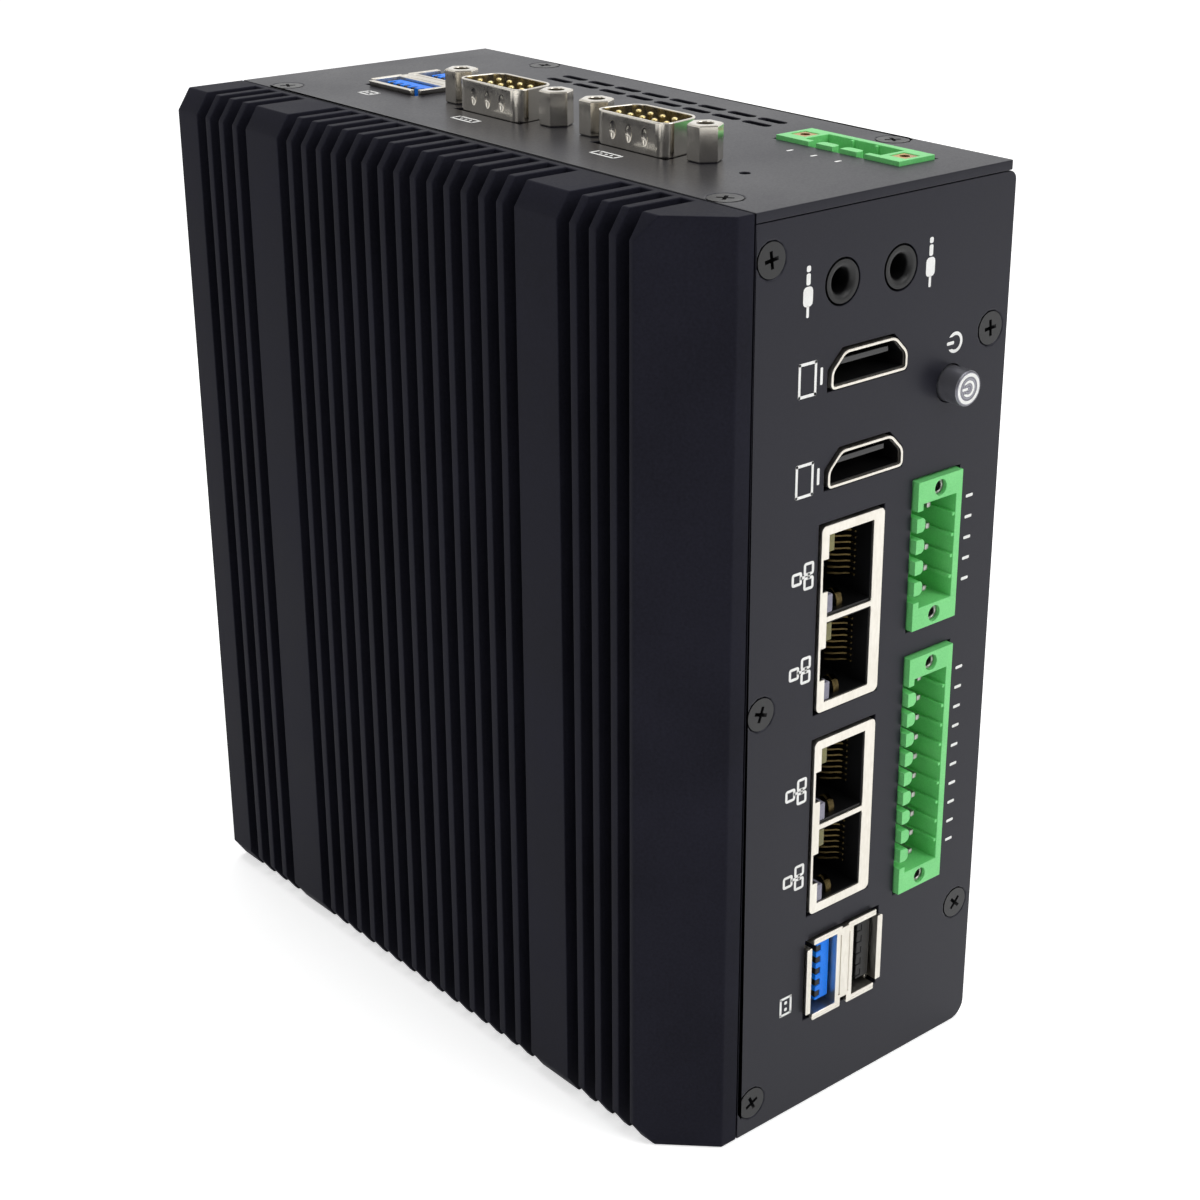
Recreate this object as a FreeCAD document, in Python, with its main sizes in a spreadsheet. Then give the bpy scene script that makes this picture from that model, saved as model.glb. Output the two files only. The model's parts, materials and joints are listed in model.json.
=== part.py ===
"""Rail-mounted box computer with a finned side heatsink, in millimetres.

Frame: +Z is up, the port panel faces -Y, the fins face -X and the rail clip is on +Y.
The origin is the middle of the footprint, on the plane that the case stands on.
"""
import FreeCAD
import Part
import Sketcher
import math
import os

doc = FreeCAD.newDocument("box_computer")
V = FreeCAD.Vector

# Driving sizes: name, value, meaning.
SIZES = [
    ("sheet_t", "1.5", "thickness of the panels and of the folded cover"),
    ("seam_gap", "0.2", "gap between the heatsink step and a panel edge"),
    ("lap_gap", "0.1", "gap between panels that lap at an edge"),
    ("cut_gap", "0.3", "gap round a socket in its panel cut-out"),
    ("lid_inset", "1.0", "setback of the top panel from the side cover"),
    ("flange_w", "6.0", "width of the side cover's turned-in rim"),
    ("bend_r", "3.0", "outer bend of the cover between side and bottom"),
    ("edge_r", "1.5", "outer bend of the cover between side and top rim"),
    ("side_space", "7.9", "room between the header row and the side cover"),
    ("sink_proud", "13.0", "reach of the fins beyond the seam"),
    ("sink_base", "5.0", "thickness of the heatsink base inside the case"),
    ("sink_floor", "1.2", "metal left between a slot's floor and the seam"),
    ("front_lip", "3.1", "strip of the heatsink that is flush with the front panel"),
    ("side_strip", "1.0", "flat between the bevel and the first slot"),
    ("fin_t", "1.6", "thickness of a fin"),
    ("fin_gap", "2.67", "width of a slot"),
    ("fin_group", "3", "fins in each outer group"),
    ("flat_w", "9.7", "width of each plain rib between the groups"),
    ("heel_min", "4.0", "least depth of the rear block"),
    ("end_cut_x", "2.4", "end cut of the fins, across"),
    ("end_cut_z", "3.6", "end cut of the fins, along"),
    ("screw_d", "2.3", "shank of a panel screw"),
    ("screw_head_d", "5.4", "countersunk head of a panel screw"),
    ("screw_len", "6.0", "length of a panel screw"),
    ("screw_fit", "0.1", "radial room of a shank in its thread"),
    ("screw_room", "0.15", "radial room of a shank in a panel"),
    ("screw_in", "3.3", "left screw row from the seam"),
    ("screw_side", "3.9", "right screw row from the outer face of the side cover"),
    ("screw_edge", "5.4", "end screws from the panel end"),
    ("screw_span", "50.4", "right-hand front screws above and below the panel's middle"),
    ("lid_screw_in", "9.5", "left-hand lid screws from the ends"),
    ("lid_screw_y", "21.8", "right-hand lid screws from the ends"),
    ("board_t", "1.6", "thickness of a circuit board"),
    ("board_gap", "0.8", "gap between the tallest front socket and the port board"),
    ("board_edge", "1.0", "gap between a board edge and a panel"),
    ("main_lift", "8.0", "main board above the heatsink base"),
    ("main_foot", "2.5", "main board above the bottom panel"),
    ("port_foot", "16.35", "lowest front socket above the ground"),
    ("bus_w", "14.1", "long side of a stacked bus socket"),
    ("bus_rise", "16.2", "height of a stacked bus socket above its board"),
    ("bus_depth", "17.0", "depth of a stacked bus socket"),
    ("bus_proud", "0.8", "reach of a bus socket beyond its panel"),
    ("bus_wall", "0.6", "shell wall of a bus socket"),
    ("bus_slot", "5.6", "height of one bus opening"),
    ("bus_reach", "11.5", "depth of a bus opening"),
    ("tongue_t", "1.9", "thickness of a bus tongue"),
    ("tongue_w", "10.6", "width of a bus tongue"),
    ("tongue_back", "1.4", "tongue tip behind the mouth"),
    ("tongue_off", "2.3", "tongue above the near wall of its opening"),
    ("gap_bus_lan", "5.1", "front socket spacing"),
    ("lan_span", "30.4", "length of a pair of network jacks"),
    ("lan_rise", "13.3", "height of a network jack above its board"),
    ("lan_depth", "21.0", "depth of a network jack"),
    ("lan_proud", "0.4", "reach of a network jack beyond the panel"),
    ("lan_skin", "0.4", "shield wall of a network jack"),
    ("lan_rim", "1.6", "width of the shield's front rim"),
    ("lan_rim_far", "2.2", "that rim on the side of the contacts"),
    ("lan_divide", "1.7", "web between the two ports of a pair"),
    ("lan_reach", "12.5", "depth of a port"),
    ("latch_w", "5.2", "width of the plug latch notch"),
    ("latch_d", "1.1", "depth of the plug latch notch"),
    ("light_x", "1.5", "light window, across"),
    ("light_z", "2.9", "light window, along"),
    ("wire_w", "0.4", "width of a network contact"),
    ("wire_pitch", "1.02", "spacing of the network contacts"),
    ("gap_lan", "4.8", "front socket spacing"),
    ("gap_lan_video", "5.75", "front socket spacing"),
    ("video_h", "5.5", "short side of a video socket"),
    ("video_span", "15.9", "long side of a video socket"),
    ("video_corner", "2.7", "cut corners of a video socket"),
    ("video_lift", "0.7", "video shell above the board"),
    ("video_depth", "12.0", "depth of a video socket"),
    ("video_proud", "0.5", "reach of a video socket beyond the panel"),
    ("video_wall", "0.45", "shell wall of a video socket"),
    ("video_pitch", "15.1", "spacing of the two video sockets"),
    ("video_tongue_w", "10.8", "width of a video tongue"),
    ("video_tongue_t", "0.9", "thickness of a video tongue"),
    ("video_tongue_z", "2.9", "tongue above the wide side of the shell"),
    ("video_plug", "3.6", "depth of the solid rear of the core"),
    ("video_tip", "1.6", "tongue tip behind the mouth"),
    ("gap_video_jack", "6.9", "front socket spacing"),
    ("jack_d", "6.4", "nose of an audio jack"),
    ("jack_bore", "3.6", "bore of an audio jack"),
    ("jack_first", "2.8", "first jack axis above the board"),
    ("jack_step", "12.0", "spacing of the two jacks"),
    ("jack_body", "5.6", "thickness of the jack housing"),
    ("jack_depth", "14.0", "depth of the jack housing"),
    ("port_head", "9.2", "panel left above the jacks"),
    ("header_rise", "10.0", "height of a header above its board"),
    ("header_depth", "9.5", "depth of a header behind the panel face"),
    ("header_proud", "1.0", "reach of a header beyond its panel"),
    ("header_wall", "1.3", "long walls of a header"),
    ("header_floor", "1.6", "floor of a header"),
    ("header_block", "3.7", "end block of a header"),
    ("header_foot", "31.7", "ten-pole header above the ground"),
    ("header_gap", "4.8", "gap between the two signal headers"),
    ("signal_pitch", "3.5", "pole spacing of the signal headers"),
    ("signal_end", "5.35", "last pole to the end of a signal header"),
    ("short_poles", "5", "poles of the upper signal header"),
    ("long_poles", "10", "poles of the lower signal header"),
    ("key_gap", "1.2", "slot between the keying fingers"),
    ("key_depth", "5.0", "depth of the keying slots"),
    ("pin_w", "1.0", "square header pins"),
    ("pin_short", "2.2", "pin tips behind the header mouth"),
    ("nut_d", "2.4", "threaded bush in a header end"),
    ("nut_bore", "1.6", "thread of that bush"),
    ("nut_len", "6.0", "length of that bush"),
    ("power_pitch", "5.08", "pole spacing of the power header"),
    ("power_end", "7.9", "last pole to the end of the power header"),
    ("power_poles", "3", "poles of the power header"),
    ("power_proud", "0.6", "reach of the power header above the lid"),
    ("power_y", "8.1", "power header behind the panel face"),
    ("insert_w", "4.2", "square brass inserts of the power header"),
    ("button_d", "5.6", "push button cap"),
    ("button_rise", "6.9", "push button axis above the port board"),
    ("button_gap", "14.2", "push button axis above the upper header"),
    ("button_proud", "3.7", "reach of the push button"),
    ("button_room", "0.2", "gap round the push button"),
    ("button_travel", "0.6", "travel of the push button"),
    ("button_rim", "0.5", "shoulder that keeps the button in"),
    ("button_stop", "0.3", "gap left at each end of the button's travel"),
    ("button_stem", "2.6", "length of the button stem"),
    ("switch_w", "9.0", "switch body, across"),
    ("switch_depth", "6.0", "switch body, deep"),
    ("serial_x", "17.5", "serial connectors from the seam"),
    ("serial_first", "41.7", "first serial connector behind the panel face"),
    ("serial_pitch", "35.0", "spacing of the serial connectors"),
    ("serial_w", "16.9", "wide side of a serial shell"),
    ("serial_t", "8.4", "thickness of a serial shell"),
    ("serial_slant", "1.5", "slant of each short side"),
    ("serial_round", "2.2", "corner radius of a serial shell"),
    ("serial_wall", "0.5", "wall of a serial shell"),
    ("serial_proud", "5.2", "reach of a serial shell above the lid"),
    ("serial_sink", "0.5", "pin floor below the lid's surface"),
    ("serial_flange_l", "30.8", "flange of a serial connector, long"),
    ("serial_flange_w", "12.5", "flange of a serial connector, across"),
    ("serial_flange_t", "0.8", "flange of a serial connector, thick"),
    ("serial_back", "7.7", "insert behind the flange"),
    ("serial_fit", "0.06", "gap round the insert in the shell"),
    ("serial_pin_d", "1.0", "serial pins"),
    ("serial_pin_proud", "4.5", "serial pins above the lid"),
    ("serial_pin_pitch", "2.77", "spacing of the pins in a row"),
    ("serial_rows", "2.84", "spacing of the two rows"),
    ("post_span", "25.0", "spacing of the two jack posts"),
    ("post_hex", "4.8", "jack post across flats"),
    ("post_proud", "5.6", "jack post above the lid"),
    ("post_bore", "2.6", "thread of a jack post"),
    ("post_deep", "4.6", "depth of that thread"),
    ("post_stud", "2.8", "stud of a jack post"),
    ("post_drop", "4.5", "stud below the lid's surface"),
    ("serial_clear", "1.9", "gap between the serial board and the main board"),
    ("bus_step", "29.05", "top bus socket behind the second serial connector"),
    ("top_bus_depth", "20.0", "depth of the top bus socket"),
    ("rear_space", "24.25", "top bus socket to the rear face"),
    ("vent_len", "6.0", "vent slot, long"),
    ("vent_w", "1.7", "vent slot, across"),
    ("vent_pitch", "7.15", "spacing of the vent slots"),
    ("vent_rows", "3.5", "spacing of the two vent rows"),
    ("vent_count", "8", "slots in each vent row"),
    ("vent_first", "44.4", "first vent slot behind the panel face"),
    ("vent_edge", "1.1", "web between the vents and the rim below"),
    ("reset_d", "1.6", "reset hole in the lid"),
    ("reset_x", "16.1", "reset hole from the seam"),
    ("reset_y", "19.1", "reset hole behind the panel face"),
    ("chip_w", "26.0", "processor package"),
    ("chip_t", "1.6", "processor package thickness"),
    ("chip_z", "80.0", "processor above the ground"),
    ("pad_t", "0.5", "thermal pad"),
    ("pad_w", "24.0", "thermal pad, square"),
    ("spreader_w", "44.0", "heat spreader, square"),
    ("post_d", "5.0", "board standoff"),
    ("post_edge", "6.0", "standoff from the board edge"),
    ("bolt_head_d", "5.2", "board screw head"),
    ("bolt_head_t", "1.8", "board screw head height"),
    ("bolt_d", "2.5", "board screw shank"),
    ("bolt_len", "5.0", "board screw below the board"),
    ("io_depth", "69.5", "port board, front to back"),
    ("io_foot", "4.7", "port board below the ten-pole header"),
    ("io_head", "4.0", "port board below the lid"),
    ("riser_front", "27.0", "front risers behind the panel face"),
    ("riser_low", "31.5", "low risers above the ground"),
    ("riser_high", "127.0", "high risers above the ground"),
    ("ram_y", "44.0", "memory socket behind the panel face"),
    ("ram_z", "37.0", "memory socket above the ground"),
    ("ram_len", "70.0", "memory socket"),
    ("ram_sock", "5.0", "memory socket, wide"),
    ("ram_rise", "4.0", "memory socket, high"),
    ("ram_w", "67.6", "memory module, long"),
    ("ram_deep", "30.0", "memory module, deep"),
    ("ram_t", "1.2", "memory module, thick"),
    ("disk_rear", "9.0", "gap between the storage module and the rear wall"),
    ("disk_z", "92.0", "storage module above the ground"),
    ("disk_sock", "5.5", "storage socket, wide"),
    ("disk_len", "80.0", "storage module, long"),
    ("disk_w", "22.0", "storage module, wide"),
    ("disk_t", "2.2", "storage module, thick"),
    ("disk_rise", "2.8", "storage module above the board"),
    ("cell_d", "20.0", "backup cell"),
    ("cell_t", "3.2", "backup cell, thick"),
    ("cell_y", "110.0", "backup cell behind the panel face"),
    ("cell_z", "21.0", "backup cell above the ground"),
    ("rail_w", "35.0", "mounting rail, lip to lip"),
    ("rail_room", "0.25", "gap at each rail edge"),
    ("rail_slot", "1.3", "room for the rail's lip"),
    ("clip_w", "40.0", "rail bracket, wide"),
    ("clip_t", "6.0", "rail bracket, thick"),
    ("clip_up", "26.0", "rail bracket above the rail's middle"),
    ("clip_down", "30.0", "rail bracket below the rail's middle"),
    ("hook_t", "2.1", "hook thickness"),
    ("hook_in", "2.25", "overlap of a hook on the rail"),
    ("hook_h", "4.25", "hook root"),
    ("slide_t", "3.4", "latch groove depth"),
    ("slide_gap", "0.3", "gap round the latch"),
    ("slide_w", "16.0", "latch bar, wide"),
    ("slide_hook", "12.0", "latch hook, wide"),
    ("slide_top", "5.5", "latch bar above the rail's middle"),
    ("slide_tail", "5.0", "latch tail below the bracket"),
    ("slide_pry", "1.8", "tool slot in the latch tail"),
    ("slide_pry_w", "7.0", "tool slot, wide"),
    ("coil_space", "10.0", "spring length at rest"),
    ("coil_room", "3.6", "spring window, wide"),
    ("coil_r", "1.0", "spring, mean radius"),
    ("coil_wire", "0.5", "spring wire"),
    ("coil_pitch", "3.4", "spring pitch"),
    ("coil_seat", "0.2", "gap at each end of the spring"),
    ("peg_w", "2.8", "spring peg, wide"),
    ("peg_h", "3.0", "spring peg, high"),
    ("peg_z", "9.7", "underside of the peg below the rail's middle"),
    ("clip_screw_x", "12.5", "lower bracket screws from the middle"),
    ("clip_screw_up", "10.5", "upper bracket screw above the rail's middle"),
    ("clip_screw_down", "13.0", "lower bracket screws below the rail's middle"),
    ("clip_screw_len", "10.0", "bracket screw length"),
]

sheet = doc.addObject("Spreadsheet::Sheet", "dims")
for row, (alias, value, note) in enumerate(SIZES, 1):
    sheet.set(f"A{row}", alias)
    sheet.set(f"B{row}", value)
    sheet.set(f"C{row}", note)
    sheet.setAlias(f"B{row}", alias)
doc.recompute()

# Levels that several pieces share, each worked out from the driving sizes.
levels = doc.addObject("App::VarSet", "levels")


def level(name, expr):
    """Add a shared level that follows the driving sizes."""
    levels.addProperty("App::PropertyFloat", name, "Levels")
    levels.setExpression(name, expr)


level("stack", "max(max(dims.bus_rise; dims.video_lift + dims.video_span);"
      " dims.jack_first + dims.jack_step + dims.jack_body / 2)")
level("panel_w", "dims.sink_base + dims.main_lift + 2 * dims.board_t + levels.stack + dims.board_gap"
      " + dims.header_rise + dims.side_space + dims.sheet_t")
level("body_w", "dims.sink_proud + levels.panel_w")
level("body_d", "dims.serial_first + dims.serial_pitch + dims.bus_step + dims.rear_space")
level("x_left", "-levels.body_w / 2")
level("x_seam", "levels.x_left + dims.sink_proud")
level("x_main", "levels.x_seam + dims.sink_base + dims.main_lift")
level("x_main_top", "levels.x_main + dims.board_t")
level("x_io", "levels.x_main_top + levels.stack + dims.board_gap")
level("x_io_top", "levels.x_io + dims.board_t")
level("y_face", "-levels.body_d / 2")
level("y_back", "levels.body_d / 2")
level("z_lan_low", "dims.port_foot + dims.bus_w + dims.gap_bus_lan")
level("z_lan_high", "levels.z_lan_low + dims.lan_span + dims.gap_lan")
level("z_video_low", "levels.z_lan_high + dims.lan_span + dims.gap_lan_video")
level("z_video_high", "levels.z_video_low + dims.video_pitch")
level("z_jack", "levels.z_video_high + dims.video_h + dims.gap_video_jack + dims.jack_d / 2")
level("z_top", "levels.z_jack + dims.jack_d / 2 + dims.port_head")
level("z_lid", "levels.z_top - dims.sheet_t")
level("z_mid", "levels.z_top / 2")
level("z_serial", "levels.z_lid - dims.serial_flange_t - dims.serial_back - dims.board_t")
level("z_main_top", "levels.z_serial - dims.serial_clear")
level("short_len", "(dims.short_poles - 1) * dims.signal_pitch + 2 * dims.signal_end")
level("long_len", "(dims.long_poles - 1) * dims.signal_pitch + 2 * dims.signal_end")
level("power_len", "(dims.power_poles - 1) * dims.power_pitch + 2 * dims.power_end")
level("z_short", "dims.header_foot + levels.long_len + dims.header_gap")
level("z_button", "levels.z_short + levels.short_len + dims.button_gap")
level("fin_pitch", "dims.fin_t + dims.fin_gap")
level("bevel", "dims.sink_proud - dims.front_lip")
level("fin_run", "dims.fin_gap + dims.fin_group * levels.fin_pitch")
level("fin_start", "levels.bevel + dims.side_strip")
level("fin_mid", "floor((levels.body_d - levels.fin_start - 2 * levels.fin_run - 2 * dims.flat_w"
      " - dims.fin_gap - dims.heel_min) / levels.fin_pitch)")
level("fin_second", "levels.fin_start + levels.fin_run + dims.flat_w")
level("fin_third", "levels.fin_second + dims.fin_gap + levels.fin_mid * levels.fin_pitch"
      " + dims.flat_w")
level("lan_port", "(dims.lan_span - 2 * dims.lan_rim - dims.lan_divide) / 2")
level("bus_web", "dims.bus_rise - 2 * dims.bus_wall - 2 * dims.bus_slot")
level("button_rear", "dims.sheet_t + dims.button_stop + dims.button_rim * 2 + dims.button_stem")
level("rail_low", "-dims.rail_w / 2 - dims.rail_room")
level("window_low", "-dims.peg_z - dims.slide_gap")
level("window_high", "-dims.peg_z + dims.peg_h + dims.coil_space + 2 * dims.coil_seat")
doc.recompute()

NODES = []


def keep(obj, label):
    """Name a finished piece; the label is also its file name."""
    obj.Label = label
    NODES.append(obj)
    return obj


def seat(obj, x="0", y="0", z="0"):
    """Bind the place of an object to three expressions."""
    for axis, expr in zip("xyz", (x, y, z)):
        obj.setExpression(f"Placement.Base.{axis}", expr)
    return obj


def box(name, lo, size):
    """A block from its low corner and its three sizes."""
    obj = doc.addObject("Part::Box", name)
    for prop, expr in zip(("Length", "Width", "Height"), size):
        obj.setExpression(prop, expr)
    return seat(obj, *lo)


TURN = {
    "+x": FreeCAD.Rotation(V(0, 1, 0), 90),
    "-x": FreeCAD.Rotation(V(0, 1, 0), -90),
    "+y": FreeCAD.Rotation(V(1, 0, 0), -90),
    "-y": FreeCAD.Rotation(V(1, 0, 0), 90),
    "+z": FreeCAD.Rotation(),
    "-z": FreeCAD.Rotation(V(1, 0, 0), 180),
}


def rod(name, start, axis, radius, length):
    """A cylinder that starts at a point and runs along one axis."""
    obj = doc.addObject("Part::Cylinder", name)
    obj.Placement.Rotation = TURN[axis]
    obj.setExpression("Radius", radius)
    obj.setExpression("Height", length)
    return seat(obj, *start)


def prism(name, start, axis, radius, length, sides=6):
    """A straight prism whose corners lie on a circle, from a point along one axis."""
    obj = doc.addObject("Part::Prism", name)
    obj.Polygon = sides
    obj.Placement.Rotation = TURN[axis]
    obj.setExpression("Circumradius", radius)
    obj.setExpression("Height", length)
    return seat(obj, *start)


def fuse(name, parts):
    """Join several shapes into one."""
    obj = doc.addObject("Part::MultiFuse", name)
    obj.Shapes = parts
    return obj


def group(name, parts):
    """Gather separate solids of one kind."""
    obj = doc.addObject("Part::Compound", name)
    obj.Links = parts
    return obj


def cut(name, base, tools):
    """Take one or several shapes out of another."""
    obj = doc.addObject("Part::Cut", name)
    obj.Base = base
    obj.Tool = tools[0] if len(tools) == 1 else group(name + "_tools", tools)
    return obj


def new_body(name, x="0", y="0", z="0", turn="+z"):
    """A body whose own origin sits at a bound place."""
    body = doc.addObject("PartDesign::Body", name)
    body.Placement.Rotation = TURN[turn]
    return seat(body, x, y, z)


def sketch(body, role, name, offset="0"):
    """A sketch on one of the body's own planes, moved along its normal."""
    sk = body.newObject("Sketcher::SketchObject", f"{body.Name}_{name}")
    support = next(f for f in body.Origin.OriginFeatures if f.Role == role)
    sk.AttachmentSupport = [(support, "")]
    sk.MapMode = "FlatFace"
    if offset != "0":
        sk.setExpression("AttachmentOffset.Base.z", offset)
    return sk


def pin_point(sk, geo, pos, x, y):
    """Fix a sketch point from the origin by two bound distances."""
    for kind, expr in (("DistanceX", x), ("DistanceY", y)):
        value = float(sk.evalExpression(expr))
        index = sk.addConstraint(Sketcher.Constraint(kind, -1, 1, geo, pos, value))
        sk.setExpression(f"Constraints[{index}]", expr)


def loop(sk, points):
    """A closed outline of straight lines through bound points."""
    first = sk.GeometryCount
    at = [V(float(sk.evalExpression(x)), float(sk.evalExpression(y)), 0) for x, y in points]
    count = len(points)
    for i in range(count):
        sk.addGeometry(Part.LineSegment(at[i], at[(i + 1) % count]), False)
    for i in range(count):
        sk.addConstraint(Sketcher.Constraint("Coincident", first + i, 2, first + (i + 1) % count, 1))
    for i, (x, y) in enumerate(points):
        pin_point(sk, first + i, 1, x, y)


def area(sk, x, y, wide, high):
    """A rectangle from its low corner."""
    far_x = f"{x} + {wide}"
    far_y = f"{y} + {high}"
    loop(sk, [(x, y), (far_x, y), (far_x, far_y), (x, far_y)])


def ring(sk, x, y, radius):
    """A circle with a bound centre and radius."""
    geo = sk.GeometryCount
    cx, cy, r = (float(sk.evalExpression(e)) for e in (x, y, radius))
    sk.addGeometry(Part.Circle(V(cx, cy, 0), V(0, 0, 1), r), False)
    pin_point(sk, geo, 3, x, y)
    index = sk.addConstraint(Sketcher.Constraint("Radius", geo, r))
    sk.setExpression(f"Constraints[{index}]", radius)


def polygon(sk, x, y, inner, sides=8):
    """A regular outline whose flats touch a circle of a bound radius."""
    points = []
    for i in range(sides):
        turn = 2 * math.pi * (i + 0.5) / sides
        reach_x = round(math.cos(turn) / math.cos(math.pi / sides), 6)
        reach_y = round(math.sin(turn) / math.cos(math.pi / sides), 6)
        points.append((f"{x} + {reach_x} * ({inner})", f"{y} + {reach_y} * ({inner})"))
    loop(sk, points)


def feature(body, kind, name, sk, length=None, back=False, mid=False):
    """A pad or pocket of a sketch, through all where no length is given."""
    doc.recompute()
    obj = body.newObject(f"PartDesign::{kind}", f"{body.Name}_{name}")
    obj.Profile = sk
    if length is None:
        obj.Type = "ThroughAll"
    else:
        obj.setExpression("Length", length)
    obj.Reversed = back
    if mid:
        obj.SideType = "Symmetric"
    return obj


def row_of(body, name, original, sk, axis, count, length):
    """Repeat a feature along a sketch axis."""
    obj = body.newObject("PartDesign::LinearPattern", f"{body.Name}_{name}")
    obj.Originals = [original]
    obj.Direction = (sk, [axis])
    obj.setExpression("Length", length)
    obj.setExpression("Occurrences", count)
    body.Tip = obj
    return obj


def sunk_screws(name, place, turn, points, length, room="0"):
    """Twelve-sided countersunk screws, or the room for them, from flush heads along a body's own axis."""
    body = new_body(name, *place, turn=turn)
    flip = "-" if turn in ("+y", "-z") else ""
    points = [(x, f"{flip}({y})") for x, y in points]
    sk = sketch(body, "XY_Plane", "heads")
    for x, y in points:
        polygon(sk, x, y, f"dims.screw_head_d / 2 + {room}", 12)
    heads = feature(body, "Pad", "head_pads", sk, "(dims.screw_head_d - dims.screw_d) / 2")
    doc.recompute()
    faces = list(enumerate(heads.Shape.Faces, 1))
    slope = body.newObject("PartDesign::Draft", name + "_slope")
    slope.Base = (heads, [f"Face{i}" for i, face in faces if abs(face.normalAt(0, 0).z) < 0.1])
    slope.NeutralPlane = (heads, [f"Face{i}" for i, face in faces if face.CenterOfMass.z < 1e-6][:1])
    slope.Angle = 45
    sk = sketch(body, "XY_Plane", "shanks")
    for x, y in points:
        polygon(sk, x, y, f"dims.screw_d / 2 + {room}", 12)
    feature(body, "Pad", "shank_pads", sk, length)
    return body


def round_edges(body, name, base, radius, axis, through=None):
    """Round the straight edges that run along one axis, all of them or those through a point."""
    doc.recompute()
    rest = [i for i in range(3) if i != "xyz".index(axis)]
    picked = []
    for i, edge in enumerate(base.Shape.Edges, 1):
        if len(edge.Vertexes) != 2 or edge.Length < 1e-3:
            continue
        a, b = (v.Point for v in edge.Vertexes)
        if sum(abs(a[k] - b[k]) for k in rest) > 1e-6:
            continue
        if through is None or all(abs(a[k] - float(body.evalExpression(e))) < 1e-6
                                  for k, e in zip(rest, through)):
            picked.append(f"Edge{i}")
    obj = body.newObject("PartDesign::Fillet", f"{body.Name}_{name}")
    obj.Base = (base, picked)
    obj.setExpression("Radius", radius)
    return obj


# Places of the panel screws, from the seam, the panel face and the ground.
RIM_TOP = "(levels.z_lid - dims.lap_gap)"
PANELS = ("levels.x_seam", "levels.y_face")
LEFT = "dims.screw_in"
RIGHT = "levels.panel_w - dims.screw_side"
FRONT_SCREWS = [
    (LEFT, "dims.screw_edge"),
    (LEFT, f"{RIM_TOP} / 2"),
    (LEFT, f"{RIM_TOP} - dims.screw_edge"),
    (RIGHT, f"{RIM_TOP} / 2 - dims.screw_span"),
    (RIGHT, f"{RIM_TOP} / 2 + dims.screw_span"),
]
LID_SCREWS = [
    (LEFT, "dims.lid_screw_in"),
    (LEFT, "levels.body_d - dims.lid_screw_in"),
    (RIGHT, "dims.lid_screw_y"),
    (RIGHT, "levels.body_d - dims.lid_screw_y"),
]
FOOT_SCREWS = LID_SCREWS[:2]
REAR_SCREWS = [FRONT_SCREWS[0], FRONT_SCREWS[2]]

# Finned heatsink: a bevelled block outside the seam and a base inside it.
sink = new_body("heatsink", "levels.x_left", "levels.y_face")
sk = sketch(sink, "XY_Plane", "outline")
loop(sk, [("levels.bevel", "0"), ("dims.sink_proud", "0"), ("dims.sink_proud", "levels.body_d"),
          ("0", "levels.body_d"), ("0", "levels.bevel")])
feature(sink, "Pad", "block", sk, "levels.z_top")
sk = sketch(sink, "XY_Plane", "base", "dims.sheet_t")
area(sk, "dims.sink_proud - dims.sink_floor", "dims.sheet_t", "dims.sink_floor + dims.sink_base",
     "(levels.body_d - 2 * dims.sheet_t)")
feature(sink, "Pad", "base_plate", sk, "levels.z_lid - dims.sheet_t")
sk = sketch(sink, "XZ_Plane", "ends")
loop(sk, [("0", "levels.z_top - dims.end_cut_z"), ("dims.end_cut_x", "levels.z_top"),
          ("0", "levels.z_top")])
loop(sk, [("0", "0"), ("dims.end_cut_x", "0"), ("0", "dims.end_cut_z")])
feature(sink, "Pocket", "end_cuts", sk)
for tag, start, gaps in (("a", "levels.fin_start", "dims.fin_group"),
                         ("b", "levels.fin_second", "levels.fin_mid"),
                         ("c", "levels.fin_third", "dims.fin_group")):
    sk = sketch(sink, "XY_Plane", "slot_" + tag)
    area(sk, "-dims.sink_floor", start, "dims.sink_proud", "dims.fin_gap")
    slot = feature(sink, "Pocket", "slot_cut_" + tag, sk, back=True)
    row_of(sink, "slots_" + tag, slot, sk, "V_Axis", f"{gaps} + 1", f"{gaps} * levels.fin_pitch")
# The threads are eight-sided: they repeat, and the screws hide them.
TAP = "dims.screw_d / 2 + dims.screw_fit"
TAP_DEEP = "dims.screw_len + dims.sheet_t"
for tag, offset, back, places in (("front", "0", False, FRONT_SCREWS[:3]),
                                  ("rear", "-levels.body_d", True, REAR_SCREWS)):
    sk = sketch(sink, "XZ_Plane", "tap_" + tag, offset)
    for x, z in places:
        polygon(sk, f"dims.sink_proud + {x}", z, TAP)
    feature(sink, "Pocket", "taps_" + tag, sk, TAP_DEEP, back)
for tag, offset, back, places in (("top", "levels.z_top", False, LID_SCREWS[:2]),
                                  ("foot", "0", True, FOOT_SCREWS)):
    sk = sketch(sink, "XY_Plane", "tap_" + tag, offset)
    for x, y in places:
        polygon(sk, f"dims.sink_proud + {x}", y, TAP)
    feature(sink, "Pocket", "taps_" + tag, sk, TAP_DEEP, back)
keep(sink, "heatsink")

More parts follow.
